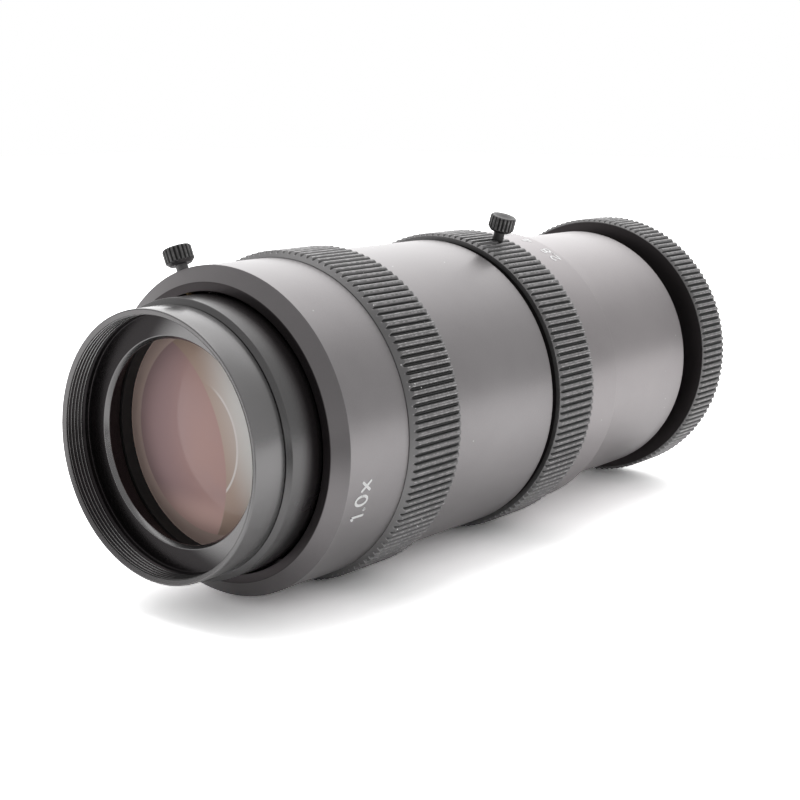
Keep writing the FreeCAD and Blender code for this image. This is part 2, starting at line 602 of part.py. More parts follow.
def drive_slot(body):
    """Slot round part of the iris journal, which the drive pin travels in."""
    doc.recompute()
    before = body.Shape.Volume
    half = "(drive_pin_radius + focus_pin_slack)"
    middle = "drive_pin_bearing + iris_turn / 2 - 90"
    sketch = outline(new_sketch(body, "drive_slot", bearing=middle), [
        (f"{IRIS_BORE} - overshoot", f"{DRIVE_PIN_HEIGHT} - {half}"),
        (f"{JOURNAL} + overshoot", f"{DRIVE_PIN_HEIGHT} - {half}"),
        (f"{JOURNAL} + overshoot", f"{DRIVE_PIN_HEIGHT} + {half}"),
        (f"{IRIS_BORE} - overshoot", f"{DRIVE_PIN_HEIGHT} + {half}"),
    ])
    groove = body.newObject("PartDesign::Groove", "drive_slot_cut")
    groove.Profile = sketch
    groove.ReferenceAxis = (sketch, ["V_Axis"])
    groove.Midplane = True
    pin_angle = f"2 * asin(drive_pin_radius / {IRIS_BORE})"
    groove.setExpression("Angle", bind(f"(iris_turn + 2 * drive_slot_slack) * 1 deg + {pin_angle}"))
    body.Tip = groove
    doc.recompute()
    if not body.Shape.Volume < before:
        raise ValueError("the drive slot cuts nothing")


def rear_barrel():
    """Band, rear tube and neck in one piece, with the rear cell's bore and the snap ring's groove."""
    turned("rear_barrel", [
        (REAR_MOUTH, NECK_END),
        (NECK, NECK_END),
        (NECK, SNAP_END),
        (f"{NECK} - snap_ring_bite", SNAP_END),
        (f"{NECK} - snap_ring_bite", SNAP_TOP),
        (NECK, SNAP_TOP),
        (NECK, TUBE_END),
        (f"{REAR_TUBE} - rim_bevel", TUBE_END),
        (REAR_TUBE, f"{TUBE_END} + rim_bevel"),
        (REAR_TUBE, BAND_END),
        (f"{BAND} - rim_bevel", BAND_END),
        (BAND, f"{BAND_END} + rim_bevel"),
        (BAND, f"{IRIS_RING_END} - end_gap"),
        (REAR_SPIGOT, f"{IRIS_RING_END} - end_gap"),
        (REAR_SPIGOT, SPIGOT_END),
        (REAR_BORE, SPIGOT_END),
        (REAR_BORE, REAR_SHELF),
        (REAR_MOUTH, REAR_SHELF),
    ])


def snap_ring():
    """Open spring ring, half in the neck's groove and half in the mount ring's."""
    ring = turned("mount_snap_ring", [
        (f"{NECK} - snap_ring_bite", f"{SNAP_END} + snap_ring_play / 2"),
        (f"{NECK} + snap_ring_bite", f"{SNAP_END} + snap_ring_play / 2"),
        (f"{NECK} + snap_ring_bite", f"{SNAP_TOP} - snap_ring_play / 2"),
        (f"{NECK} - snap_ring_bite", f"{SNAP_TOP} - snap_ring_play / 2"),
    ])
    turning = next(feature for feature in ring.Group if feature.TypeId == "PartDesign::Revolution")
    turning.setExpression("Angle", bind("(360 - snap_ring_gap) * 1 deg"))


# Rings that turn

def focus_ring():
    """Knurled focus ring with the helical groove that drives the nose."""
    low, high = f"({FOCUS_END} + end_gap)", f"({FOCUS_TOP} - end_gap)"
    body = turned("focus_ring", [
        (RING_BORE, low),
        (f"{RING} - ring_bevel", low),
        (RING, f"{low} + ring_bevel"),
        (RING, f"{high} - focus_cone"),
        (f"{BODY} + ring_foot_step", high),
        (RING_BORE, high),
    ])
    half = "(focus_pin_radius + focus_pin_slack)"
    start_angle = f"(focus_half_turn + {half} / {JOURNAL} * 180 / pi)"
    start_height = f"({FOCUS_PIN_HEIGHT} - focus_lead * {start_angle} / 360)"
    section = new_sketch(body, "focus_groove_section", bearing=f"focus_pin_bearing - {start_angle} - 90")
    sketch = outline(section, [
        (f"{RING_BORE} - overshoot", f"{start_height} - {half}"),
        (f"{RING_BORE} + focus_groove_depth", f"{start_height} - {half}"),
        (f"{RING_BORE} + focus_groove_depth", f"{start_height} + {half}"),
        (f"{RING_BORE} - overshoot", f"{start_height} + {half}"),
    ])
    doc.recompute()
    before = body.Shape.Volume
    groove = body.newObject("PartDesign::SubtractiveHelix", "focus_groove")
    groove.Profile = sketch
    groove.ReferenceAxis = (sketch, ["V_Axis"])
    groove.Mode = "pitch-height-angle"
    groove.setExpression("Pitch", bind("focus_lead"))
    groove.setExpression("Height", bind(f"focus_lead * 2 * {start_angle} / 360"))
    groove.Angle = 0
    groove.LeftHanded = False
    body.Tip = groove
    doc.recompute()
    if not body.Shape.Volume < before:
        raise ValueError("the focus groove cuts nothing")
    flutes(body, RING, f"{FOCUS_TOP} + overshoot")


def iris_ring():
    """Knurled iris ring with the tapped hole of its lock screw and the drive pin's hole."""
    low, high = IRIS_RING_END, IRIS_RING_TOP
    body = turned("iris_ring", [
        (RING_BORE, low),
        (f"{RING} - ring_bevel", low),
        (RING, f"{low} + ring_bevel"),
        (RING, f"{high} - ring_bevel"),
        (f"{RING} - ring_bevel", high),
        (RING_BORE, high),
    ])
    radial_hole(body, "iris_screw_hole", "iris_screw_bearing", IRIS_SCREW_HEIGHT,
                "screw_radius + running_gap", f"{RING} + overshoot")
    radial_hole(body, "drive_pin_hole", "drive_pin_bearing", DRIVE_PIN_HEIGHT, "drive_pin_radius",
                f"{RING} - 2 * flute_depth")
    flutes(body, RING, f"{IRIS_RING_TOP} + overshoot")


def mount_ring():
    """Knurled ring that turns on the rear neck and carries the camera thread."""
    floor_top = f"({MOUNT_FLOOR} + mount_floor)"
    groove = f"({NECK} + snap_ring_bite + snap_ring_play)"
    body = turned("mount_ring", [
        ("mount_bore_radius", "0"),
        (MOUNT_THREAD, "0"),
        (MOUNT_THREAD, MOUNT_FLOOR),
        (f"{MOUNT_RING} - ring_bevel", MOUNT_FLOOR),
        (MOUNT_RING, f"{MOUNT_FLOOR} + ring_bevel"),
        (MOUNT_RING, f"{MOUNT_TOP} - ring_bevel"),
        (f"{MOUNT_RING} - ring_bevel", MOUNT_TOP),
        (NECK_BORE, MOUNT_TOP),
        (NECK_BORE, f"{SNAP_TOP} + snap_ring_play"),
        (groove, f"{SNAP_TOP} + snap_ring_play"),
        (groove, f"{SNAP_END} - snap_ring_play"),
        (NECK_BORE, f"{SNAP_END} - snap_ring_play"),
        (NECK_BORE, floor_top),
        ("mount_bore_radius", floor_top),
    ])
    flutes(body, MOUNT_RING, f"{MOUNT_TOP} + overshoot")


# Iris

def iris_plate():
    """Fixed plate with a hole for each blade's pivot."""
    body = turned("iris_plate", [
        (BLADE_INNER, BLADE_TOP),
        (IRIS_BORE, BLADE_TOP),
        (IRIS_BORE, IRIS_STEP),
        (BLADE_INNER, IRIS_STEP),
    ])
    sketch = new_sketch(body, "pivot_hole", "XY_Plane")
    edge = sketch.addGeometry(
        Part.Circle(FreeCAD.Vector(value(BLADE_PIVOT), 0, 0), AXIS, value("blade_pin_radius")), False)
    sketch.addConstraint(Sketcher.Constraint("PointOnObject", edge, 3, -1))
    index = sketch.addConstraint(Sketcher.Constraint("DistanceX", -1, 1, edge, 3, value(BLADE_PIVOT)))
    sketch.setExpression(f"Constraints[{index}]", bind(BLADE_PIVOT))
    hole_radius = value("blade_pin_radius + blade_pin_slack")
    index = sketch.addConstraint(Sketcher.Constraint("Radius", edge, hole_radius))
    sketch.setExpression(f"Constraints[{index}]", bind("blade_pin_radius + blade_pin_slack"))
    cut = cut_outward(body, sketch, f"{IRIS_STEP} + overshoot")
    repeat_round(body, cut, sketch, "blade_count")


def turn_about(point, centre, angle):
    """A point turned about a centre in the iris plane."""
    return centre + FreeCAD.Rotation(AXIS, angle).multVec(point - centre)


def at_angle(radius, angle):
    """A point on a circle round the optical axis."""
    return FreeCAD.Vector(radius * math.cos(math.radians(angle)), radius * math.sin(math.radians(angle)), 0)


def blade_slot_path():
    """Path of a blade's drive pin as seen from the cam ring, from open to closed."""
    pivot = at_angle(value(BLADE_PIVOT), 0)
    pin = at_angle(value(BLADE_PIVOT), value("blade_pin_angle"))
    points = []
    for step in range(SLOT_STEPS + 1):
        share = step / SLOT_STEPS
        on_plate = turn_about(pin, pivot, share * value("blade_turn"))
        points.append(turn_about(on_plate, ORIGIN, -share * value("iris_turn")))
    return points


def cam_ring():
    """Ring behind the blades with one slanting slot for each blade's drive pin."""
    body_low, web_low = value(CAM_END), value(f"{CAM_TOP} - cam_web_height")
    high = value(CAM_TOP)
    outer = value(f"{IRIS_BORE} - running_gap")
    rim_inner = outer - value("cam_rim_width")
    rim = Part.makeCylinder(outer, high - body_low, FreeCAD.Vector(0, 0, body_low))
    rim = rim.cut(Part.makeCylinder(rim_inner, high - body_low, FreeCAD.Vector(0, 0, body_low)))
    web = Part.makeCylinder(rim_inner, high - web_low, FreeCAD.Vector(0, 0, web_low))
    web = web.cut(Part.makeCylinder(value(IRIS_OPENING), high - web_low, FreeCAD.Vector(0, 0, web_low)))
    ring = rim.fuse(web).removeSplitter()
    curve = Part.BSplineCurve()
    curve.interpolate(blade_slot_path())
    half = value("blade_pin_radius + 2 * blade_pin_slack")
    slot = slot_along(curve, half, body_low, high)
    step = 360 / value("blade_count")
    for blade in range(int(value("blade_count"))):
        turned_slot = slot.copy()
        turned_slot.rotate(ORIGIN, AXIS, blade * step)
        ring = ring.cut(turned_slot)
    outward = bearing_direction(value("drive_pin_bearing"))
    hole = Part.makeCylinder(value("drive_pin_radius"), outer, ORIGIN, outward)
    hole.translate(FreeCAD.Vector(0, 0, value(DRIVE_PIN_HEIGHT)))
    piece = doc.addObject("Part::Feature", "iris_cam_ring")
    piece.Shape = ring.cut(hole)
    return keep(piece)


def slot_along(curve, half, low, high):
    """A slot of a given half width along a curve, round at both ends."""
    wire = Part.Wire([curve.toShape()])
    first, last = curve.StartPoint, curve.EndPoint
    height = FreeCAD.Vector(0, 0, high - low)
    sides = [side_curve(curve, half), side_curve(curve, -half)]
    ends = [Part.makeLine(sides[0].EndPoint, sides[1].EndPoint),
            Part.makeLine(sides[0].StartPoint, sides[1].StartPoint)]
    edges = Part.sortEdges([sides[0].toShape(), sides[1].toShape()] + ends)[0]
    solid = Part.Face(Part.Wire(edges)).extrude(height)
    for spot in (first, last):
        solid = solid.fuse(Part.makeCylinder(half, high - low, spot))
    solid.translate(FreeCAD.Vector(0, 0, low))
    return solid


def side_curve(curve, offset):
    """A smooth curve beside another one in the iris plane."""
    first, last = curve.FirstParameter, curve.LastParameter
    points = []
    for step in range(SLOT_STEPS + 1):
        parameter = first + (last - first) * step / SLOT_STEPS
        along = curve.tangent(parameter)[0]
        points.append(curve.value(parameter) + FreeCAD.Vector(-along.y, along.x, 0) * offset)
    beside = Part.BSplineCurve()
    beside.interpolate(points)
    return beside


def blade_face():
    """Crescent of a blade with the ear that holds its two pins, in the iris plane."""
    inner, outer = value(BLADE_INNER), value(BLADE_OUTER)
    start, end = -value("blade_lead_in"), value("blade_span")
    pivot_radius, ear = value(BLADE_PIVOT), value("blade_ear_radius")
    crescent = sector(inner, outer, start, end)
    ear_sector = sector(outer - ear, pivot_radius + ear, 0, value("blade_pin_angle"))
    shape = crescent.fuse(ear_sector)
    for angle in (0, value("blade_pin_angle")):
        shape = shape.fuse(Part.Face(Part.Wire(Part.makeCircle(ear, at_angle(pivot_radius, angle)))))
    return shape.removeSplitter()


def sector(inner, outer, start, end):
    """A flat piece of a ring between two angles."""
    middle = (start + end) / 2
    outer_arc = Part.Arc(at_angle(outer, start), at_angle(outer, middle), at_angle(outer, end)).toShape()
    inner_arc = Part.Arc(at_angle(inner, end), at_angle(inner, middle), at_angle(inner, start)).toShape()
    sides = [Part.makeLine(at_angle(outer, end), at_angle(inner, end)),
             Part.makeLine(at_angle(inner, start), at_angle(outer, start))]
    return Part.Face(Part.Wire([outer_arc, sides[0], inner_arc, sides[1]]))


def iris_blades():
    """The blades, each on its own level, with a pivot pin up to the plate and a drive pin down to the cam."""
    face = blade_face()
    count = int(value("blade_count"))
    thickness, pin_radius = value("blade_thickness"), value("blade_pin_radius")
    plate_low, plate_high = value(BLADE_TOP), value(IRIS_STEP)
    web_low, web_high = value(f"{CAM_TOP} - cam_web_height"), value(CAM_TOP)
    pivot_spot = at_angle(value(BLADE_PIVOT), 0)
    pin_spot = at_angle(value(BLADE_PIVOT), value("blade_pin_angle"))
    for blade in range(count):
        low = plate_low - (blade + 1) * value("blade_pitch")
        sheet_solid = face.extrude(FreeCAD.Vector(0, 0, thickness))
        sheet_solid.translate(FreeCAD.Vector(0, 0, low))
        pivot_foot = pivot_spot + FreeCAD.Vector(0, 0, low)
        pivot = Part.makeCylinder(pin_radius, (plate_low + plate_high) / 2 - low, pivot_foot)
        foot = (web_low + web_high) / 2
        drive = Part.makeCylinder(pin_radius, low + thickness - foot, pin_spot + FreeCAD.Vector(0, 0, foot))
        piece = doc.addObject("Part::Feature", f"iris_blade_{blade + 1}")
        piece.Shape = sheet_solid.fuse([pivot, drive]).removeSplitter()
        piece.Placement = FreeCAD.Placement(ORIGIN, FreeCAD.Rotation(AXIS, 360 * blade / count))
        keep(piece)


def iris_fixings():
    """Pin from the iris ring to the cam ring, and the ring that closes the iris from behind."""
    start = f"({IRIS_BORE} - cam_rim_width)"
    radial_pin("iris_drive_pin", "drive_pin_radius", f"{RING} - 2 * flute_depth - {start}",
               "drive_pin_bearing", start, DRIVE_PIN_HEIGHT)
    turned("iris_retaining_ring", [
        (IRIS_OPENING, f"{IRIS_RETAINER_TOP} - iris_retainer_height"),
        (IRIS_BORE, f"{IRIS_RETAINER_TOP} - iris_retainer_height"),
        (IRIS_BORE, IRIS_RETAINER_TOP),
        (IRIS_OPENING, IRIS_RETAINER_TOP),
    ])


# Rear lenses

def rear_group():
    """Rear cell with its single lens, spacer, cemented doublet and retaining ring."""
    turned("rear_cell", [
        ("rear_glass_radius", REAR_SHELF),
        (REAR_BORE, REAR_SHELF),
        (REAR_BORE, REAR_CELL_TOP),
        (f"{REAR_CLEAR} + rim_bevel", REAR_CELL_TOP),
        (REAR_CLEAR, REAR_LENS_FACE),
        ("rear_glass_radius", REAR_LENS_FACE),
    ])
    lens("rear_lens", "rear_glass_radius", REAR_CURVE,
         (REAR_LENS_FACE, "rear_lens_curve", "convex"), (REAR_LENS_BACK, "rear_lens_curve", "convex"))
    turned("rear_spacer", [
        (REAR_CLEAR, REAR_CROWN_FACE),
        ("rear_glass_radius", REAR_CROWN_FACE),
        ("rear_glass_radius", REAR_LENS_BACK),
        (REAR_CLEAR, REAR_LENS_BACK),
    ])
    lens("rear_crown", "rear_glass_radius", REAR_CURVE,
         (REAR_CROWN_FACE, "rear_lens_curve", "convex"), (REAR_CEMENT, "rear_cement_curve", "convex"))
    lens("rear_flint", "rear_glass_radius", REAR_CURVE,
         (REAR_CEMENT, "rear_cement_curve", "hollow"), (REAR_FLINT_BACK, "rear_back_curve", "convex"))
    turned("rear_retaining_ring", [
        (REAR_CLEAR, f"{REAR_FLINT_BACK} - retainer_height"),
        ("rear_glass_radius", f"{REAR_FLINT_BACK} - retainer_height"),
        ("rear_glass_radius", REAR_FLINT_BACK),
        (REAR_CLEAR, REAR_FLINT_BACK),
    ])


# Lock screws

def lock_screw(name, bearing, height, tip, outside, neck):
    """Thumbscrew, made along +Z from its tip and laid at its bearing."""
    head_low = f"({outside} + {neck} - {tip})"
    head_high = f"({head_low} + screw_head_length)"
    body = turned(name, [
        ("0", "0"),
        ("screw_radius - rim_bevel", "0"),
        ("screw_radius", "rim_bevel"),
        ("screw_radius", head_low),
        ("screw_head_radius - screw_head_bevel", head_low),
        ("screw_head_radius", f"{head_low} + screw_head_bevel"),
        ("screw_head_radius", f"{head_high} - screw_edge"),
        ("screw_head_radius - screw_edge", head_high),
        ("0", head_high),
    ])
    stand_radially(body, bearing, tip, height)


def lock_pad(name, bearing, height, seat, length):
    """Soft pad in front of a lock screw, hollowed to the round surface that it presses on."""
    blank = doc.addObject("Part::Cylinder", f"{name}_blank")
    blank.setExpression("Radius", bind("screw_pad_radius"))
    blank.setExpression("Height", bind(f"{length} + overshoot"))
    stand_radially(blank, bearing, f"{seat} - overshoot", height)
    drum = doc.addObject("Part::Cylinder", f"{name}_drum")
    drum.setExpression("Radius", bind(seat))
    drum.setExpression("Height", bind("4 * screw_pad_radius"))
    drum.setExpression("Placement.Base.z", bind(f"{height} - 2 * screw_pad_radius"))
    pad = combine("Part::Cut", name, blank, drum)
    return keep(pad)


def lock_screws():
    """Front screw, which clamps the sleeve, and the iris ring's screw, which clamps its journal."""
    front_seat = f"({WAIST} + running_gap)"
    lock_pad("front_lock_pad", "front_screw_bearing", FRONT_SCREW_HEIGHT, front_seat, "front_pad_length")
    lock_screw("front_lock_screw", "front_screw_bearing", FRONT_SCREW_HEIGHT,
               f"({front_seat} + front_pad_length)", BODY, "front_screw_neck")
    lock_pad("iris_lock_pad", "iris_screw_bearing", IRIS_SCREW_HEIGHT, RING_BORE, "iris_pad_length")
    lock_screw("iris_lock_screw", "iris_screw_bearing", IRIS_SCREW_HEIGHT,
               f"({RING_BORE} + iris_pad_length)", RING, "iris_screw_neck")


def check_and_write():
    """Stops if anything failed or any sub-part is empty or broken, then writes each sub-part's solid."""
    doc.recompute()
    failed = [item.Name for item in doc.Objects if {"Invalid", "Error"} & set(item.State)]
    if failed:
        raise ValueError(f"failed objects: {failed}")
    for piece in finished:
        if piece.Shape.isNull() or not piece.Shape.isValid() or not piece.Shape.Solids:
            raise ValueError(f"{piece.Label} has no valid solid")
    os.makedirs(PARTS_FOLDER, exist_ok=True)
    for piece in finished:
        piece.Shape.exportStep(os.path.join(PARTS_FOLDER, f"{piece.Label}.step"))


nose_barrel()
focus_sleeve()
front_group()
focus_pin()
front_housing()
main_barrel()
rear_barrel()
snap_ring()
focus_ring()
iris_ring()
mount_ring()
iris_plate()
cam_ring()
iris_blades()
iris_fixings()
rear_group()
lock_screws()
check_and_write()
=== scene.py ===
"""Looks of the large telecentric lens: materials, fine turned detail, lettering, lights and camera.

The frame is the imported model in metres: +Z along the optical axis, standing on the camera end.
The side that faces up in the photograph is -Y. A bearing is an angle about +Z from -Y.
"""

import math

import bpy
from mathutils import Matrix, Vector


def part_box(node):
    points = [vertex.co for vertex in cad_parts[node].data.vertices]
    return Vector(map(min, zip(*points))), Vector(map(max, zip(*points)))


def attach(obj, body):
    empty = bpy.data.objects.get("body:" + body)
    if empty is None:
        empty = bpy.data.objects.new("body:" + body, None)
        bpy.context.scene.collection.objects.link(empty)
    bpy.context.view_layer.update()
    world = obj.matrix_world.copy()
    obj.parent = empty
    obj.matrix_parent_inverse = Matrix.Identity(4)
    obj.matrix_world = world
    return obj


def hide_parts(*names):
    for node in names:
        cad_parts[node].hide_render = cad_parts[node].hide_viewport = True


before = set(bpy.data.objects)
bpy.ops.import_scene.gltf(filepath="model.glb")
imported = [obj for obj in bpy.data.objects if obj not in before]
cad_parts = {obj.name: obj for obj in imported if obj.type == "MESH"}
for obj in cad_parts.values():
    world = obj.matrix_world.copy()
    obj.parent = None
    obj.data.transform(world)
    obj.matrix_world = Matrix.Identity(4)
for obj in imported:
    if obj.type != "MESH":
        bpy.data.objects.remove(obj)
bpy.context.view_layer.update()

MM = 0.001

# Camera, from the circles of the photographed rings
CAMERA_PLACE = Vector((-253.4, -77.4, 440.3)) * MM
CAMERA_DIRECTION = Vector((0.60844, 0.19206, -0.77001))
CAMERA_UP = Vector((0.11907, -0.98138, -0.15069))
CAMERA_LENS = 68.64

# Sizes that the solids don't give, in metres
THREAD_PITCH = 1.0 * MM
THREAD_HEIGHT = 0.45 * MM
MOUNT_THREAD_PITCH = 0.75 * MM
MOUNT_THREAD_HEIGHT = 0.3 * MM
MOUNT_THREAD_ROOT = 28.7 * MM
MOUNT_FACE = 7.0 * MM
MOUNT_FLOOR = 9.0 * MM
NOSE_WALL = 30.5 * MM
THREAD_START = 0.9 * MM
THREAD_END = 5.3 * MM
DISH_BACK = 7.0 * MM
DISH_DEPTH = 0.2 * MM
APERTURE_RADIUS = 24.2 * MM
LIP_WIDTH = 0.8 * MM
LIP_HEIGHT = 1.1 * MM
BAFFLE_MOUTH = 28.3 * MM
SPIGOT_RADIUS = 31.0 * MM
SPIGOT_LENGTH = 5.2 * MM
SEAM_DEPTH = 0.7 * MM
FLUTE_DEPTH = 0.75 * MM
FLUTE_FLOOR = 0.1 * MM
FLUTE_MOUTH = 1.35 * MM
LAND_CROWN = 0.07 * MM
RING_CHAMFER = 0.8 * MM
RING_EDGE = 0.25 * MM
BIG_RING_RADIUS = 41.7 * MM
BIG_RING_BORE = 37.95 * MM
MOUNT_RING_RADIUS = 40.7 * MM
MOUNT_RING_BORE = 33.55 * MM
MOUNT_BORE = 26.0 * MM
SEAM_GAP = 0.25 * MM
CONE_LENGTH = 2.5 * MM
SCREW_HEAD_RADIUS = 3.6 * MM
SCREW_HEAD_LENGTH = 4.4 * MM
SCREW_SHANK_RADIUS = 1.5 * MM
SCREW_HEAD_FLUTE = 0.3 * MM
LETTER_LIFT = 0.03 * MM

# Counts of pieces and of steps in rounded forms
BLADES = 8
BAFFLE_STEPS = 8
FLUTES = 132
FLUTE_STEPS = 16
SCREW_FLUTES = 20
SCREW_FLUTE_STEPS = 10
TURNED_COLUMNS = 256
ROUNDING_STEPS = 3
RUN_STEPS = 10
LINE_STEPS = 4
ARC_STEPS = 28
TIP_STEPS = 12

# The angle in degrees above which an edge is sharp
SHARP_ANGLE = 32.0

# The radius in metres to which the anodising's shader rounds its edges
EDGE_RADIUS = 0.25 * MM

# The lettering's stroke, as a share of its height
LETTER_WEIGHT = 0.16

# The mesh attribute that says how deep a flute is, from 0 to 1
CUT = "cut"

# Room light: a level all round, with lobes added
ROOM_LEVEL = 0.75
# A lobe is its direction, the cosines where it is full and gone, and its strength
ROOM_LIGHTS = [
    ((0.50, -0.36, -0.79), 0.97, 0.55, 0.75),
    ((0.61, -0.19, -0.77), 0.97, 0.78, 0.40),
    ((-0.62, -0.10, -0.78), 0.98, 0.70, -0.15),
    ((-0.15, -0.25, 1.00), 0.85, 0.00, -0.28),
]
# The photographer's side looks dark in the metal: its middle, where it is full and gone, and its grey
DARK_PATCH = (-0.20, 0.04, 0.46)
DARK_PATCH_FULL = 0.10
DARK_PATCH_GONE = 0.27
DARK_PATCH_LEVEL = 0.1

# Tones of the anodising, as shares of red, green and blue
NEUTRAL = (1.0, 0.98, 0.985)
WARM = (1.0, 0.95, 0.965)
REAR_WARM = (1.0, 0.935, 0.95)
# Painted shade: dark colours laid where shade falls in bores, grooves and recesses, and where the metal shows
# dark reflections
PAINTED_SHADE = (0.064, 0.057, 0.059, 1.0)
DEEPEST_SHADE = (0.030, 0.027, 0.028, 1.0)

# How metallic the anodising is
METAL = 0.9

# The dished face's painted shade deepens along this direction
DISH_SHADE = (1.0, 0.25, 0.0)

# Directions across the lens, as the photograph has it
UP_IN_PHOTO = (0, -1, 0)
DOWN_IN_PHOTO = (0, 1, 0)
RIGHT_IN_PHOTO = (-1, 0, 0)

# Painted reflected arcs on the lenses, seen along the axis: centre x, y, radius and softness in mm
NEAR_ARC = (-0.43, -0.34, 24.4, 0.25)
FAR_ARC = (23.0, 6.84, 30.1, 0.2)
SMALL_ARC = (4.8, 1.5, 15.4, 0.15)
SMALL_ARC_OUT = (4.8, 1.5, 15.9, 0.15)

# The painted glow of reflected light on the lenses grows along this direction
GLOW_DIRECTION = (-1.0, -0.35, 0.0)

# Colours of the painted reflections on the coated surfaces
LENS_OLIVE = (0.88, 0.67, 0.60, 1.0)
LENS_LILAC = (0.56, 0.385, 0.39, 1.0)
LENS_PEACH = (0.64, 0.40, 0.365, 1.0)
LENS_LOW = (1.0, 0.68, 0.62, 1.0)
LENS_SIDE = (0.62, 0.455, 0.375, 1.0)
LENS_GLOW = (0.95, 0.93, 0.90, 1.0)
LENS_LINE = (1.0, 0.93, 0.90, 1.0)


# Shader helpers

class Nodes:
    """Short ways to add nodes to a tree, with the position or direction that its textures read."""

    def __init__(self, tree, coordinate):
        self.tree = tree
        self.position = self.add("ShaderNodeTexCoord").outputs[coordinate]

    def add(self, kind, **settings):
        node = self.tree.nodes.new(kind)
        for key, setting in settings.items():
            setattr(node, key, setting)
        return node

    def join(self, source, target):
        self.tree.links.new(source, target)

    def feed(self, socket, source):
        """Sets a socket to a number or colour, or links it."""
        if isinstance(source, bpy.types.NodeSocket):
            self.join(source, socket)
        else:
            socket.default_value = source

    def math(self, operation, first, second=0.0, clamp=False):
        node = self.add("ShaderNodeMath", operation=operation, use_clamp=clamp)
        self.feed(node.inputs[0], first)
        self.feed(node.inputs[1], second)
        return node.outputs[0]

    def vector_math(self, operation, first, second=(0, 0, 0)):
        node = self.add("ShaderNodeVectorMath", operation=operation)
        self.feed(node.inputs[0], first)
        self.feed(node.inputs[1], second)
        if operation in ("LENGTH", "DISTANCE", "DOT_PRODUCT"):
            return node.outputs["Value"]
        return node.outputs[0]

    def times(self, first, second):
        return self.math("MULTIPLY", first, second)

    def along(self, direction):
        """How far a place is along a direction."""
        return self.vector_math("DOT_PRODUCT", self.position, direction)

    def noise(self, scale, detail=3.0, roughness=0.55, place=None):
        node = self.add("ShaderNodeTexNoise")
        node.inputs["Scale"].default_value = scale
        node.inputs["Detail"].default_value = detail
        node.inputs["Roughness"].default_value = roughness
        self.join(place or self.position, node.inputs["Vector"])
        return node.outputs["Fac"]

    def spread(self, source, low, high, out_low=0.0, out_high=1.0):
        """Maps a range of a value to another, smoothly clamped."""
        node = self.add("ShaderNodeMapRange", interpolation_type="SMOOTHSTEP")
        for socket, number in zip(("Value", "From Min", "From Max", "To Min", "To Max"),
                                  (source, low, high, out_low, out_high)):
            self.feed(node.inputs[socket], number)
        return node.outputs[0]

    def mix(self, amount, first, second):
        """One colour or the other. The node's colours are inputs 6 and 7, and its result is output 2."""
        node = self.add("ShaderNodeMix", data_type="RGBA")
        self.feed(node.inputs[0], amount)
        self.feed(node.inputs[6], first)
        self.feed(node.inputs[7], second)
        return node.outputs[2]

    def blend(self, amount, first, second):
        """One shader or the other."""
        node = self.add("ShaderNodeMixShader")
        self.feed(node.inputs[0], amount)
        self.join(first.outputs[0], node.inputs[1])
        self.join(second.outputs[0], node.inputs[2])
        return node

    def height(self):
        """Height over the camera end."""
        return self.along((0, 0, 1))

    def radius(self):
        """Distance from the optical axis."""
        return self.vector_math("LENGTH", self.vector_math("MULTIPLY", self.position, (1, 1, 0)))

    def bump(self, height, strength, distance, normal=None):
        node = self.add("ShaderNodeBump")
        node.inputs["Strength"].default_value = strength
        node.inputs["Distance"].default_value = distance
        self.join(height, node.inputs["Height"])
        if normal is not None:
            self.join(normal, node.inputs["Normal"])
        return node.outputs[0]

    def round_edges(self, radius):
        node = self.add("ShaderNodeBevel", samples=6)
        node.inputs["Radius"].default_value = radius
        return node.outputs[0]


class Shader(Nodes):
    """A new material with its principled shader, and positions on the object in metres."""

    def __init__(self, name):
        self.material = bpy.data.materials.new(name)
        self.material.use_nodes = True
        super().__init__(self.material.node_tree, "Object")
        self.surface = self.tree.nodes["Principled BSDF"]
        self.output = self.tree.nodes["Material Output"]

    def paint(self, **sockets):
        """Feeds the principled shader's sockets, named with underscores for spaces."""
        for name, source in sockets.items():
            self.feed(self.surface.inputs[name.replace("_", " ")], source)


def grey(level, tone=(1.0, 1.0, 1.0)):
    """A level of grey, or of a tone, as an opaque colour."""
    return (*(level * share for share in tone), 1.0)


# Materials

def dust_mask(shader, scale, amount):
    """Small scattered specks."""
    cells = shader.add("ShaderNodeTexVoronoi", feature="F1", distance="EUCLIDEAN")
    cells.inputs["Scale"].default_value = scale
    shader.join(shader.position, cells.inputs["Vector"])
    near = shader.spread(cells.outputs["Distance"], 0.05, 0.09, 1.0, 0.0)
    chosen = shader.math("GREATER_THAN", shader.noise(scale * 0.37, 0.0), 1.0 - amount)
    return shader.times(near, chosen)


def nose_painted_light(shader, colour):
    """The inside of the nose barrel, painted with shade and highlights: its threaded wall, its dished face,
    its rim and its baffle.
    """
    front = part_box("nose_barrel")[1][2]
    colour = wall_painted_light(shader, colour, front)
    colour = dish_painted_shade(shader, colour, front)
    colour = rim_painted_shade(shader, colour, front)
    return baffle_painted_shade(shader, colour, front)


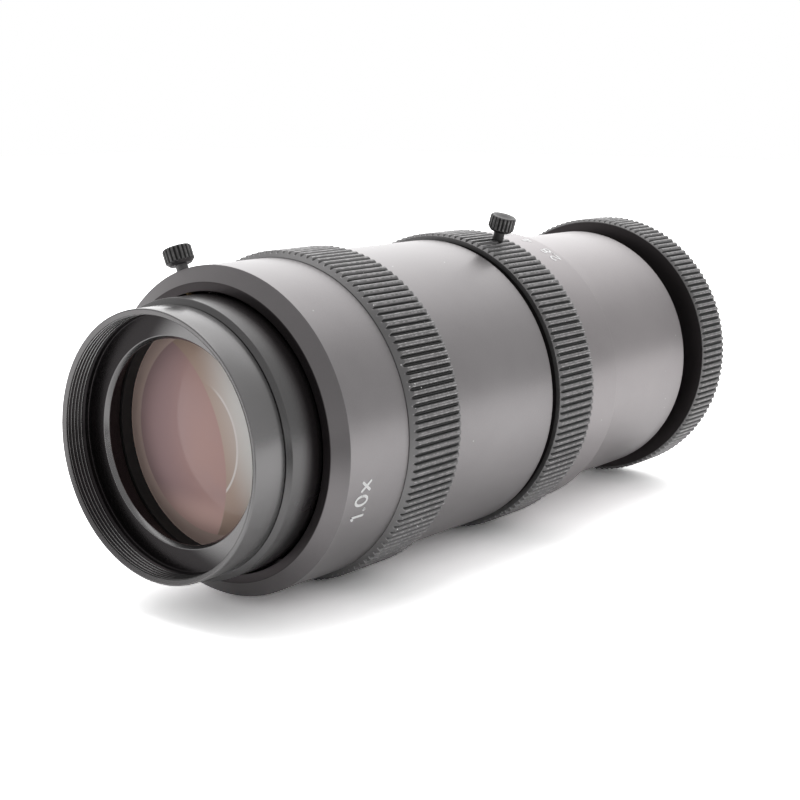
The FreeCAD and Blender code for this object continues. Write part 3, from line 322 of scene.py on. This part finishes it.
def wall_painted_light(shader, colour, front):
    """A wall painted dark as shade, whose thread crests carry a painted highlight that grows toward -Y."""
    radius, height = shader.radius(), shader.height()
    behind_rim = shader.spread(height, front - 0.4 * MM, front - 0.6 * MM)
    wall = shader.times(shader.spread(radius, 31.3 * MM, 31.2 * MM), behind_rim)
    wall = shader.times(shader.spread(radius, 30.2 * MM, 30.4 * MM), wall)
    thread_end = front - THREAD_END
    on_crest = shader.spread(radius, NOSE_WALL + 0.16 * MM, NOSE_WALL + 0.06 * MM)
    crest = shader.times(on_crest, shader.spread(height, thread_end - 0.1 * MM, thread_end + 0.1 * MM))
    # Painted highlight on the thread crests, growing toward -Y
    highlight_side = shader.spread(shader.along(UP_IN_PHOTO), 4.0 * MM, 26.0 * MM)
    crest_highlight = shader.mix(highlight_side, grey(0.25), grey(0.8))
    return shader.mix(wall, colour, shader.mix(crest, DEEPEST_SHADE, crest_highlight))


def dish_painted_shade(shader, colour, front):
    """A dished face with painted shade, a dark reflection of its wall, deeper on one side and toward its
    outer edge.
    """
    radius, height = shader.radius(), shader.height()
    lip_edge = APERTURE_RADIUS + LIP_WIDTH
    outside_lip = shader.spread(radius, lip_edge + 0.05 * MM, lip_edge + 0.2 * MM)
    dish = shader.times(outside_lip, shader.spread(radius, 30.8 * MM, 30.6 * MM))
    in_dish = shader.spread(height, front - DISH_BACK + 0.3 * MM, front - DISH_BACK + 0.1 * MM)
    outward = shader.times(shader.math("SUBTRACT", radius, lip_edge), 1.5)
    across = shader.math("ADD", shader.along(DISH_SHADE), outward)
    shaded = shader.spread(across, -9.0 * MM, 4.0 * MM)
    return shader.mix(shader.times(shader.times(dish, in_dish), shaded), colour, DEEPEST_SHADE)


def rim_painted_shade(shader, colour, front):
    """The front rim is painted a little darker than the barrel's outside, as shade."""
    at_front = shader.spread(shader.height(), front - 0.6 * MM, front - 0.4 * MM)
    rim = shader.times(at_front, shader.spread(shader.radius(), 31.9 * MM, 31.7 * MM))
    return shader.mix(shader.times(rim, 0.3), colour, PAINTED_SHADE)


def baffle_painted_shade(shader, colour, front):
    """The baffle behind the lip is painted black, as deep shade."""
    behind_lip = front - DISH_BACK - DISH_DEPTH - LIP_HEIGHT
    behind = shader.spread(shader.height(), behind_lip + 0.05 * MM, behind_lip - 0.05 * MM)
    outside = shader.spread(shader.radius(), 30.9 * MM, 31.1 * MM)
    return shader.mix(behind, colour, shader.mix(outside, DEEPEST_SHADE, colour))


def collar_painted_shade(shader, colour):
    """The cone at the mouth of the front housing is painted darker than its cylinder, as shade."""
    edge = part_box("front_housing")[1][2] - CONE_LENGTH
    on_cone = shader.spread(shader.height(), edge - 0.03 * MM, edge + 0.03 * MM, 0.0, 0.3)
    return shader.mix(on_cone, colour, PAINTED_SHADE)


def sleeve_painted_shade(shader, colour):
    """The sleeve is painted dark as shade where it slides into the collar."""
    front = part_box("focus_sleeve")[1][2]
    collar_shade = shader.spread(shader.height(), front - 2.5 * MM, front - 8.5 * MM)
    return shader.mix(collar_shade, colour, PAINTED_SHADE)


def shade_under_skin(shader, colour, skin):
    """Nearer to the axis than the skin's radius, where shade falls in bores and grooves, the metal is painted
    dark as shade.
    """
    return shader.mix(shader.spread(shader.radius(), skin + 0.1 * MM, skin - 0.1 * MM), colour, PAINTED_SHADE)


def anodised(name, level, roughness, tone=WARM, skin=0.0, dust=0.31, metal=METAL, painted_light_zones=None):
    """Satin black anodising over a fine blasted grain, with soft stains, rounded edges and a little dust,
    painted shade under its skin radius, and painted light and shade in its zones.
    """
    shader = Shader(name)
    grain = shader.noise(9000.0, 2.0)
    stain = shader.noise(26.0, 4.0, 0.6)
    colour = shader.mix(shader.spread(stain, 0.3, 0.7), grey(level * 0.93, tone), grey(level * 1.06, tone))
    colour = shader.mix(shader.spread(grain, 0.35, 0.65, 0.0, 0.35), colour, grey(level * 1.25, tone))
    colour = shader.mix(dust_mask(shader, 320.0, dust), colour, grey(0.55))
    # Painted shade under the skin radius
    if skin:
        colour = shade_under_skin(shader, colour, skin)
    # Painted light and shade, zone by zone
    if painted_light_zones:
        colour = painted_light_zones(shader, colour)
    normal = shader.bump(grain, 0.12, 0.03 * MM, shader.round_edges(EDGE_RADIUS))
    varied = shader.math("ADD", shader.spread(stain, 0.25, 0.75, -0.02, 0.02), roughness)
    shader.paint(Base_Color=colour, Metallic=metal, Roughness=varied, Normal=normal)
    return shader.material


def knurl_metal(name, level, roughness, skin=0.0):
    """Anodised knurl: worn, lighter crests, painted shade in the flutes and under the skin radius, and a
    little dust.
    """
    shader = Shader(name)
    grain = shader.noise(7000.0, 2.0)
    stain = shader.noise(40.0, 4.0)
    cut = shader.add("ShaderNodeAttribute", attribute_name=CUT).outputs["Fac"]
    dull, bright = grey(level * 0.9, NEUTRAL), grey(level * 1.1, NEUTRAL)
    colour = shader.mix(shader.spread(stain, 0.3, 0.7), dull, bright)
    corner = shader.times(shader.spread(cut, 0.0, 0.06), shader.spread(cut, 0.25, 0.1))
    worn = shader.times(corner, shader.spread(shader.noise(900.0, 3.0), 0.42, 0.62))
    colour = shader.mix(worn, colour, grey(level * 2.0, NEUTRAL))
    # Painted shade, deepening toward the flute floors
    colour = shader.mix(shader.spread(cut, 0.3, 0.95), colour, grey(level * 0.3))
    colour = shader.mix(dust_mask(shader, 420.0, 0.4), colour, grey(0.85))
    colour = shade_under_skin(shader, colour, skin)
    varied = shader.math("ADD", shader.spread(stain, 0.25, 0.75, -0.04, 0.04), roughness)
    normal = shader.bump(grain, 0.15, 0.03 * MM)
    shader.paint(Base_Color=colour, Metallic=METAL, Roughness=varied, Normal=normal)
    return shader.material


def painted_mark():
    """White lettering paint, a little uneven."""
    shader = Shader("letter_white")
    uneven = shader.noise(1800.0, 3.0)
    colour = shader.mix(shader.spread(uneven, 0.3, 0.7), grey(0.93), grey(1.0))
    shader.paint(Base_Color=colour, Roughness=0.5, Normal=shader.bump(uneven, 0.1, 0.02 * MM))
    return shader.material


def bare_metal(name, tone, roughness):
    """Bare steel or brass with fine turning lines."""
    shader = Shader(name)
    lines = shader.noise(1500.0, 2.0, place=shader.vector_math("MULTIPLY", shader.position, (1, 1, 9)))
    colour = shader.mix(shader.spread(lines, 0.3, 0.7), grey(0.9, tone), grey(1.0, tone))
    varied = shader.spread(lines, 0.2, 0.8, roughness - 0.05, roughness + 0.05)
    shader.paint(Base_Color=colour, Metallic=1.0, Roughness=varied)
    return shader.material


def lens_painted_reflections(name):
    """Coated glass over a dark barrel, with painted reflections: the arcs that its surfaces reflect, and
    their glow toward one side.
    """
    shader = Shader(name)
    flat = shader.vector_math("MULTIPLY", shader.position, (1, 1, 0))

    def inside(circle):
        x, y, radius, soft = circle
        away = shader.vector_math("DISTANCE", flat, (x * MM, y * MM, 0.0))
        return shader.spread(away, (radius + soft) * MM, (radius - soft) * MM)

    def toward(direction, start, end):
        return shader.spread(shader.vector_math("DOT_PRODUCT", flat, direction), start * MM, end * MM)

    # Painted glow of reflected light toward one side
    glow = toward(GLOW_DIRECTION, 2.0, 16.0)
    side = shader.mix(glow, LENS_SIDE, LENS_GLOW)
    in_small = inside(SMALL_ARC)
    side = shader.mix(shader.times(in_small, 0.45), side, LENS_SIDE)
    rim_of_small = shader.math("SUBTRACT", inside(SMALL_ARC_OUT), in_small, True)
    # Painted highlight: a thin bright line along the small arc
    line = shader.times(rim_of_small, toward(RIGHT_IN_PHOTO, 2.0, 7.0))
    side = shader.mix(line, side, LENS_LINE)
    cloud = shader.noise(60.0, 2.0)
    rose = shader.mix(toward(RIGHT_IN_PHOTO, -16.0, 2.0), LENS_LILAC, LENS_PEACH)
    rose = shader.mix(shader.spread(cloud, 0.35, 0.7, 0.0, 0.35), rose, LENS_LILAC)
    # Painted light: the rose grows lighter toward +Y
    rose = shader.mix(toward(DOWN_IN_PHOTO, 13.0, 22.0), rose, LENS_LOW)
    colour = shader.mix(inside(FAR_ARC), side, rose)
    colour = shader.mix(inside(NEAR_ARC), LENS_OLIVE, colour)
    shader.paint(Base_Color=colour, Metallic=0.0, Roughness=0.1, Specular_IOR_Level=0.2, Coat_Weight=0.1,
                 Coat_Roughness=0.03)
    return shader.material


# Mesh helpers

def add_piece(name, points, faces, material, body, cuts=None):
    """A smooth mesh with sharp edges, riding on a body. Cuts are how deep its flutes are at each point."""
    mesh = bpy.data.meshes.new(name)
    mesh.from_pydata(points, [], faces)
    if cuts:
        mesh.attributes.new(CUT, "FLOAT", "POINT").data.foreach_set("value", cuts)
    mesh.validate()
    mesh.polygons.foreach_set("use_smooth", [True] * len(mesh.polygons))
    mesh.set_sharp_from_angle(angle=math.radians(SHARP_ANGLE))
    mesh.materials.append(material)
    piece = bpy.data.objects.new(name, mesh)
    bpy.context.scene.collection.objects.link(piece)
    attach(piece, body)
    return piece


def rounded_outline(corners):
    """A closed outline with an arc at each corner. A corner is its radius, its height and its rounding."""
    outline = []
    count = len(corners)
    for index, (x, y, rounding) in enumerate(corners):
        here = Vector((x, y))
        before = Vector(corners[index - 1][:2]) - here
        after = Vector(corners[(index + 1) % count][:2]) - here
        half = before.angle(after) / 2
        # A corner that is nearly folded or nearly straight stays as it is
        if rounding <= 0 or half < 0.05 or abs(half - math.pi / 2) < 0.02:
            outline.append(here)
            continue
        reach = min(rounding / math.tan(half), before.length * 0.45, after.length * 0.45)
        first, last = here + before.normalized() * reach, here + after.normalized() * reach
        for step in range(ROUNDING_STEPS + 1):
            share = step / ROUNDING_STEPS
            outline.append((first.lerp(here, share)).lerp(here.lerp(last, share), share))
    return outline


def turned(name, outline, material, body, columns=TURNED_COLUMNS, limit=None, depth=1.0):
    """A closed outline turned about the optical axis. A limit gives the largest radius at each bearing."""
    points, faces, cuts = [], [], []
    rows = len(outline)
    for column in range(columns):
        angle = 2 * math.pi * column / columns
        most = limit(angle) if limit else math.inf
        for corner in outline:
            radius = min(corner.x, most)
            points.append((radius * math.cos(angle), radius * math.sin(angle), corner.y))
            cuts.append((corner.x - radius) / depth)
    for column in range(columns):
        here, there = column * rows, ((column + 1) % columns) * rows
        for row in range(rows):
            up = (row + 1) % rows
            faces.append((here + row, there + row, there + up, here + up))
    return add_piece(name, points, faces, material, body, cuts=cuts if limit else None)


def smooth_share(value, low, high):
    """Where a value lies between two others, from 0 to 1, easing in and out."""
    share = min(max((value - low) / (high - low), 0.0), 1.0)
    return share * share * (3 - 2 * share)


def fluted(radius, count, depth, floor, mouth, crown):
    """The largest radius at each bearing of a fluted ring: rounded grooves between slightly crowned lands."""
    pitch = 2 * math.pi * radius / count

    def limit(angle):
        turn = angle * count / (2 * math.pi)
        away = abs(turn - round(turn)) * pitch
        land = (pitch / 2 - away) / (pitch / 2 - mouth / 2)
        groove = depth * (1 - smooth_share(away, floor / 2, mouth / 2))
        return radius - groove - crown * min(max(land, 0.0), 1.0) ** 2

    return limit


def between(first, last, count):
    """Points of a straight run of an outline, so that flutes can run out along it."""
    return [first.lerp(last, step / count) for step in range(1, count)]


def dense_outline(corners, runs):
    """A rounded outline with extra points on the runs that start at the given corners."""
    outline = []
    plain = rounded_outline(corners)
    marks = [Vector(corners[index][:2]) for index in runs]
    for index, point in enumerate(plain):
        outline.append(point)
        following = plain[(index + 1) % len(plain)]
        at_mark = any((point - mark).length < 0.5 * MM for mark in marks)
        long_run = (following - point).length > 0.4 * MM
        if at_mark and long_run:
            outline += between(point, following, RUN_STEPS)
    return outline


# Pieces

def nose_piece(material):
    """The nose barrel with its filter thread, dished face, bevelled lip and ridged baffle."""
    low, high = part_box("nose_barrel")[0][2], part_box("nose_barrel")[1][2]
    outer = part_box("nose_barrel")[1][0]
    seam = low + SPIGOT_LENGTH
    seam_floor = outer - SEAM_DEPTH
    dish = high - DISH_BACK
    aperture = dish - DISH_DEPTH
    corners = [
        (SPIGOT_RADIUS, low, 0),
        (SPIGOT_RADIUS, seam, 0),
        (seam_floor, seam, 0),
        (seam_floor, seam + SEAM_GAP, 0),
        (outer, seam + SEAM_GAP, 0.12 * MM),
        (outer, high - 0.1 * MM, 0.2 * MM),
        (outer - 0.3 * MM, high, 0.1 * MM),
        (NOSE_WALL + 0.05 * MM, high - 0.45 * MM, 0.1 * MM),
        (NOSE_WALL + THREAD_HEIGHT, high - 0.6 * MM, 0.05 * MM),
    ]
    crest = high - THREAD_START
    while crest > high - THREAD_END:
        corners.append((NOSE_WALL, crest, 0.05 * MM))
        corners.append((NOSE_WALL + THREAD_HEIGHT, crest - THREAD_PITCH / 2, 0.05 * MM))
        crest -= THREAD_PITCH
    corners += [
        (NOSE_WALL, crest, 0.05 * MM),
        (NOSE_WALL, dish, 0.3 * MM),
        (APERTURE_RADIUS + LIP_WIDTH, aperture, 0.08 * MM),
        (APERTURE_RADIUS, aperture - LIP_HEIGHT, 0.05 * MM),
    ]
    step_height = (aperture - LIP_HEIGHT - low) / BAFFLE_STEPS
    step_width = (BAFFLE_MOUTH - APERTURE_RADIUS) / BAFFLE_STEPS
    for step in range(BAFFLE_STEPS):
        base = aperture - LIP_HEIGHT - step * step_height
        inner = APERTURE_RADIUS + step * step_width
        corners.append((inner + step_width, base - 0.1 * MM, 0))
        corners.append((inner + step_width * 0.75, base - step_height, 0))
    piece = turned("nose_shell", rounded_outline(corners), material, "nose")
    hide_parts("nose_barrel")


def sleeve_piece(material):
    """The focus sleeve: a bevel behind the seam, then one plain cylinder into the collar."""
    low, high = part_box("focus_sleeve")[0][2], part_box("focus_sleeve")[1][2]
    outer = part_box("focus_sleeve")[1][0]
    bevel, guide, waist = 32.05 * MM, 33.0 * MM, 32.4 * MM
    bore, glass, shoulder = 30.0 * MM, 29.2 * MM, 27.6 * MM
    guide_top, cylinder_low = low + 48.0 * MM, high - 10.4 * MM
    socket_floor = high - SPIGOT_LENGTH
    seat = high - 32.4 * MM
    seat_back = seat - 2.0 * MM
    corners = [
        (bore, low, 0),
        (guide, low, 0.3 * MM),
        (guide, guide_top, 0.1 * MM),
        (waist, guide_top + 0.6 * MM, 0.1 * MM),
        (waist, cylinder_low - 1.0 * MM, 0.1 * MM),
        (outer, cylinder_low, 0.1 * MM),
        (outer, high - 0.75 * MM, 0.12 * MM),
        (bevel, high, 0.05 * MM),
        (SPIGOT_RADIUS, high, 0),
        (SPIGOT_RADIUS, socket_floor, 0),
        (glass, socket_floor, 0),
        (glass, seat, 0),
        (shoulder, seat, 0),
        (shoulder, seat_back, 0),
        (bore, seat_back, 0),
    ]
    piece = turned("sleeve_skin", rounded_outline(corners), material, "nose")
    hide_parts("focus_sleeve")


def ring_piece(node, name, body, corners, radius, material):
    """A fluted ring in place of a node. Its flutes run out along the slopes that start at corners 1 and 3."""
    limit = fluted(radius, FLUTES, FLUTE_DEPTH, FLUTE_FLOOR, FLUTE_MOUTH, LAND_CROWN)
    outline = dense_outline(corners, (1, 3))
    columns = FLUTES * FLUTE_STEPS
    piece = turned(name, outline, material, body, columns=columns, limit=limit, depth=FLUTE_DEPTH)
    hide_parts(node)


def ring_back(radius, low):
    """The two corners of a ring's chamfer at its camera end."""
    return [(radius - RING_CHAMFER, low, 0.1 * MM), (radius, low + RING_CHAMFER, RING_EDGE)]


def ring_front(radius, high):
    """The two corners of a ring's chamfer at its front end."""
    return [(radius, high - RING_CHAMFER, RING_EDGE), (radius - RING_CHAMFER, high, 0.1 * MM)]


def focus_grip(material):
    """The first knurled ring, with a longer slope at its front."""
    low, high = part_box("focus_ring")[0][2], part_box("focus_ring")[1][2]
    slope = [(BIG_RING_RADIUS, high - 1.6 * MM, 0.3 * MM), (40.1 * MM, high, 0.08 * MM)]
    corners = [(BIG_RING_BORE, low, 0), *ring_back(BIG_RING_RADIUS, low), *slope, (BIG_RING_BORE, high, 0)]
    ring_piece("focus_ring", "focus_grip", "focus_control", corners, BIG_RING_RADIUS, material)


def iris_grip(material):
    """The second knurled ring."""
    low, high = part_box("iris_ring")[0][2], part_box("iris_ring")[1][2]
    slopes = [*ring_back(BIG_RING_RADIUS, low), *ring_front(BIG_RING_RADIUS, high)]
    corners = [(BIG_RING_BORE, low, 0), *slopes, (BIG_RING_BORE, high, 0)]
    ring_piece("iris_ring", "iris_grip", "iris_control", corners, BIG_RING_RADIUS, material)


def mount_grip(material):
    """The last knurled ring, down to the face behind the camera thread."""
    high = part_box("mount_ring")[1][2]
    hub = MOUNT_THREAD_ROOT - 0.05 * MM
    slopes = [*ring_back(MOUNT_RING_RADIUS, MOUNT_FACE), *ring_front(MOUNT_RING_RADIUS, high)]
    inside = [(MOUNT_RING_BORE, high, 0), (MOUNT_RING_BORE, MOUNT_FLOOR, 0), (hub, MOUNT_FLOOR, 0)]
    corners = [(hub, MOUNT_FACE, 0), *slopes, *inside]
    ring_piece("mount_ring", "mount_grip", "camera_mount", corners, MOUNT_RING_RADIUS, material)


def mount_thread(material):
    """The threaded end behind the mount ring's face."""
    corners = [(MOUNT_BORE, 0, 0.1 * MM), (MOUNT_THREAD_ROOT, 0, 0.1 * MM)]
    crest = 0.6 * MM
    last_crest = MOUNT_FACE - 0.9 * MM
    while crest < last_crest:
        corners.append((MOUNT_THREAD_ROOT + MOUNT_THREAD_HEIGHT, crest, 0.04 * MM))
        corners.append((MOUNT_THREAD_ROOT, crest + MOUNT_THREAD_PITCH / 2, 0.04 * MM))
        crest += MOUNT_THREAD_PITCH
    corners += [
        (MOUNT_THREAD_ROOT, MOUNT_FACE, 0),
        (MOUNT_THREAD_ROOT, MOUNT_FLOOR, 0),
        (MOUNT_BORE, MOUNT_FLOOR, 0),
    ]
    piece = turned("mount_thread", rounded_outline(corners), material, "camera_mount")
    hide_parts("mount_ring")


def lock_screw(node, name, body, bearing, height, tip, head, material):
    """A thumbscrew with a finely fluted head, laid at its bearing. Tip and head are radii from the axis."""
    radius = SCREW_HEAD_RADIUS
    top = head + SCREW_HEAD_LENGTH
    corners = [
        (0.0, tip, 0),
        (SCREW_SHANK_RADIUS, tip, 0.1 * MM),
        (SCREW_SHANK_RADIUS, head, 0.1 * MM),
        (radius - 0.9 * MM, head, 0.1 * MM),
        (radius, head + 0.9 * MM, 0.15 * MM),
        (radius, top - 0.35 * MM, 0.15 * MM),
        (radius - 0.35 * MM, top, 0.1 * MM),
        (0.0, top, 0),
    ]
    pitch = 2 * math.pi * radius / SCREW_FLUTES
    limit = fluted(radius, SCREW_FLUTES, SCREW_HEAD_FLUTE, pitch * 0.1, pitch * 0.7, 0.03 * MM)
    outline = dense_outline(corners, (3, 5))
    columns = SCREW_FLUTES * SCREW_FLUTE_STEPS
    piece = turned(name, outline, material, body, columns=columns, limit=limit, depth=SCREW_HEAD_FLUTE)
    turn = Matrix.Translation((0, 0, height)) @ Matrix.Rotation(math.radians(bearing), 4, "Z")
    piece.data.transform(turn @ Matrix.Rotation(math.radians(90), 4, "X"))
    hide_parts(node)


def lock_screws(material):
    """The screw that locks the nose, in the collar, and the one that locks the iris, in its ring."""
    lock_screw("front_lock_screw", "front_thumbscrew", "front_screw", bearing=22.5, height=184.5 * MM,
               tip=34.85 * MM, head=41.9 * MM, material=material)
    lock_screw("iris_lock_screw", "iris_thumbscrew", "iris_screw", bearing=343.0, height=91.4 * MM,
               tip=38.85 * MM, head=44.2 * MM, material=material)


# Lettering

# A glyph is its width and its strokes, in a box one unit high
# A line is a list of points, an arc is its centre, its radii, and its first and last angle
GLYPHS = {
    "0": (0.62, [("arc", 0.31, 0.5, 0.27, 0.46, 0, 360)]),
    "1": (0.30, [("line", (0.02, 0.78), (0.2, 0.97), (0.2, 0.02))]),
    "2": (0.60, [("arc", 0.3, 0.7, 0.26, 0.26, 170, -35),
                 ("line", (0.51, 0.55), (0.04, 0.03), (0.58, 0.03))]),
    "4": (0.66, [("line", (0.48, 0.02), (0.48, 0.97), (0.03, 0.28), (0.64, 0.28))]),
    "5": (0.60, [("line", (0.53, 0.97), (0.12, 0.97), (0.09, 0.56)),
                 ("arc", 0.29, 0.33, 0.27, 0.3, 135, -150)]),
    "6": (0.62, [("arc", 0.31, 0.3, 0.26, 0.27, 0, 360),
                 ("line", (0.07, 0.4), (0.2, 0.75), (0.44, 0.97))]),
    "8": (0.62, [("arc", 0.31, 0.26, 0.26, 0.24, 0, 360), ("arc", 0.31, 0.73, 0.22, 0.22, 0, 360)]),
    "x": (0.60, [("line", (0.06, 0.0), (0.54, 0.62)), ("line", (0.06, 0.62), (0.54, 0.0))]),
    ".": (0.16, [("arc", 0.08, 0.07, 0.03, 0.03, 0, 360)]),
}


def stroke_points(stroke):
    """Points along a stroke, close enough together to bend round a cylinder."""
    if stroke[0] == "line":
        points = [Vector(point) for point in stroke[1:]]
        dense = [points[0]]
        for first, last in zip(points, points[1:]):
            dense += [first.lerp(last, step / LINE_STEPS) for step in range(1, LINE_STEPS + 1)]
        return dense
    x, y, wide, tall, start, end = stroke[1:]
    angles = [math.radians(start + (end - start) * step / ARC_STEPS) for step in range(ARC_STEPS + 1)]
    return [Vector((x + wide * math.cos(angle), y + tall * math.sin(angle))) for angle in angles]


def ribbon(points, width):
    """A flat band along a stroke, with round ends."""
    shape, faces = [], []
    for index, point in enumerate(points):
        before, after = points[max(index - 1, 0)], points[min(index + 1, len(points) - 1)]
        along = (after - before).normalized()
        side = Vector((-along.y, along.x)) * width / 2
        shape += [point + side, point - side]
    for index in range(len(points) - 1):
        faces.append((2 * index, 2 * index + 1, 2 * index + 3, 2 * index + 2))
    for tip in (points[0], points[-1]):
        start = len(shape)
        shape += [tip + Vector((math.cos(turn), math.sin(turn))) * width / 2
                  for turn in (2 * math.pi * step / TIP_STEPS for step in range(TIP_STEPS))]
        faces.append(tuple(range(start, start + TIP_STEPS)))
    return shape, faces


def marking(name, text, material, letter_height, spacing, radius, bearing, base):
    """Text laid round a cylinder of the barrel, its tops toward the front, centred at a bearing."""
    points, faces = [], []
    out = radius + LETTER_LIFT
    width = sum(GLYPHS[letter][0] + spacing for letter in text) - spacing
    pen = -width / 2
    for letter in text:
        advance, strokes = GLYPHS[letter]
        for stroke in strokes:
            shape, quads = ribbon(stroke_points(stroke), LETTER_WEIGHT)
            start = len(points)
            for point in shape:
                angle = math.radians(bearing) + (pen + point.x) * letter_height / radius
                points.append((out * math.sin(angle), -out * math.cos(angle), base + point.y * letter_height))
            faces += [tuple(start + corner for corner in quad) for quad in quads]
        pen += advance + spacing
    add_piece(name, points, faces, material, "barrel")


def lettering(material):
    """The magnification on the front housing and the iris scale on the band."""
    marking("magnification_mark", "1.0x", material, letter_height=4.4 * MM, spacing=0.2, radius=40.0 * MM,
            bearing=-107.2, base=180.0 * MM)
    for step, number in enumerate(("2.8", "4", "5.6", "8", "11")):
        marking(f"iris_scale_{step + 1}", number, material, letter_height=3.6 * MM, spacing=0.14,
                radius=40.2 * MM, bearing=-29.3 + 12.5 * step, base=74.2 * MM)


# Materials on the solids that keep their shape

def dress(material, *nodes):
    """Puts a material on nodes through their slots."""
    for node in nodes:
        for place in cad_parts[node].material_slots:
            place.material = material


def dress_solids():
    """Materials for the solids that keep their shape."""
    front = anodised("satin_front", level=0.28, roughness=0.32, skin=36.2 * MM, painted_light_zones=collar_painted_shade)
    dress(front, "front_housing")
    middle = anodised("satin_middle", level=0.29, roughness=0.32, skin=39.5 * MM)
    dress(middle, "main_barrel")
    rear = anodised("satin_rear", level=0.33, roughness=0.32, tone=REAR_WARM, skin=36.6 * MM)
    dress(rear, "rear_barrel")
    inner = anodised("matt_inner", level=0.02, roughness=0.7, dust=0.1, metal=0.0)
    dress(inner, "iris_plate", "iris_cam_ring", "iris_retaining_ring", "front_spacer", "front_retaining_ring",
          "rear_cell", "rear_spacer", "rear_retaining_ring")
    pins = bare_metal("ground_steel", (0.5, 0.5, 0.51), roughness=0.3)
    dress(pins, "focus_pin", "iris_drive_pin", "mount_snap_ring")
    blades = [f"iris_blade_{index + 1}" for index in range(BLADES)]
    dress(bare_metal("blade_steel", (0.12, 0.12, 0.125), roughness=0.45), *blades)
    dress(bare_metal("turned_brass", (0.72, 0.52, 0.25), roughness=0.3), "front_lock_pad", "iris_lock_pad")
    dress(lens_painted_reflections("painted_reflections_front"), "front_lens")
    dress(lens_painted_reflections("painted_reflections_rear"), "front_crown", "front_flint", "rear_lens", "rear_crown", "rear_flint")


# Stage, lights and camera

def stage_surface(name, seen_gain, mirrored_gain, albedo):
    """White for the camera with the object's soft shadow, pale for other light, and open from behind.

    In reflections it is white too, but for a dark patch.
    """
    shader = Shader(name)

    def matte(level):
        surface = shader.add("ShaderNodeBsdfDiffuse")
        surface.inputs["Color"].default_value = grey(level)
        return surface

    paths = shader.add("ShaderNodeLightPath")
    away = shader.vector_math("DISTANCE", shader.position, DARK_PATCH)
    off_patch = shader.spread(away, DARK_PATCH_FULL, DARK_PATCH_GONE)
    mirrored = shader.blend(off_patch, matte(DARK_PATCH_LEVEL), matte(mirrored_gain))
    front = shader.blend(paths.outputs["Is Glossy Ray"], matte(albedo), mirrored)
    front = shader.blend(paths.outputs["Is Camera Ray"], front, matte(seen_gain))
    clear = shader.add("ShaderNodeBsdfTransparent")
    final = shader.blend(shader.add("ShaderNodeNewGeometry").outputs["Backfacing"], front, clear)
    shader.join(final.outputs[0], shader.output.inputs["Surface"])
    return shader.material


def photo_table():
    """The pale table that the lens lies on in the photograph: it touches the rings on their +Y side."""
    reach, level = 2.5, 41.75 * MM
    points = [
        (-reach, level, -reach),
        (reach, level, -reach),
        (reach, level, reach),
        (-reach, level, reach),
    ]
    mesh = bpy.data.meshes.new("photo_table")
    mesh.from_pydata(points, [], [(0, 1, 2, 3)])
    surface = stage_surface("pale_table", seen_gain=2.6, mirrored_gain=1.3, albedo=0.85)
    mesh.materials.append(surface)
    table = bpy.data.objects.new("photo_table", mesh)
    bpy.context.scene.collection.objects.link(table)


def overhead_box():
    """A square soft box over the side that faces up in the photograph, aimed at the lens's middle."""
    place, middle = Vector((0.15, -0.75, 0.1)), Vector((0.0, 0.0, 0.11))
    lamp = bpy.data.lights.new("overhead_box", "AREA")
    lamp.energy = 2.0
    lamp.shape = "RECTANGLE"
    lamp.size = 0.8
    lamp.size_y = 0.8
    light = bpy.data.objects.new("overhead_box", lamp)
    light.location = place
    light.rotation_euler = (middle - place).to_track_quat("-Z", "Y").to_euler()
    light.visible_camera = False
    bpy.context.scene.collection.objects.link(light)


def world_light():
    """Soft studio light: bright behind the lens, darker to one side and in front, white for the camera."""
    world = bpy.data.worlds.new("room")
    bpy.context.scene.world = world
    world.use_nodes = True
    nodes = Nodes(world.node_tree, "Generated")
    background = world.node_tree.nodes["Background"]
    background.inputs["Color"].default_value = grey(1.0)
    level = ROOM_LEVEL
    for direction, near, far, strength in ROOM_LIGHTS:
        facing = nodes.vector_math("DOT_PRODUCT", nodes.position, Vector(direction).normalized())
        level = nodes.math("ADD", level, nodes.spread(facing, far, near, 0.0, strength))
    paths = nodes.add("ShaderNodeLightPath")
    choose = nodes.add("ShaderNodeMix", data_type="FLOAT")
    nodes.join(paths.outputs["Is Camera Ray"], choose.inputs[0])
    nodes.join(level, choose.inputs[2])
    choose.inputs[3].default_value = 1.0
    nodes.join(choose.outputs[0], background.inputs["Strength"])


def camera():
    """The photograph's camera."""
    data = bpy.data.cameras.new("photo_camera")
    data.lens = CAMERA_LENS
    data.sensor_width = 36.0
    data.clip_start = 0.01
    eye = bpy.data.objects.new("photo_camera", data)
    ahead = CAMERA_DIRECTION.normalized()
    right = ahead.cross(CAMERA_UP).normalized()
    up = right.cross(ahead)
    turn = Matrix((right, up, -ahead)).transposed().to_4x4()
    eye.matrix_world = Matrix.Translation(CAMERA_PLACE) @ turn
    bpy.context.scene.collection.objects.link(eye)
    bpy.context.scene.camera = eye


def light_and_stage():
    """The table, the light, the camera and the view."""
    photo_table()
    world_light()
    overhead_box()
    camera()
    bpy.context.scene.view_settings.view_transform = "Standard"


nose_piece(anodised("nose_black", level=0.22, roughness=0.24, tone=NEUTRAL, painted_light_zones=nose_painted_light))
sleeve_piece(anodised("sleeve_black", level=0.14, roughness=0.26, tone=NEUTRAL, painted_light_zones=sleeve_painted_shade))
knurl_black = knurl_metal("knurl_black", level=0.2, roughness=0.4, skin=39.7 * MM)
focus_grip(knurl_black)
iris_grip(knurl_black)
mount_grip(knurl_black)
mount_thread(knurl_black)
lock_screws(knurl_metal("screw_black", level=0.12, roughness=0.4))
lettering(painted_mark())
dress_solids()
light_and_stage()
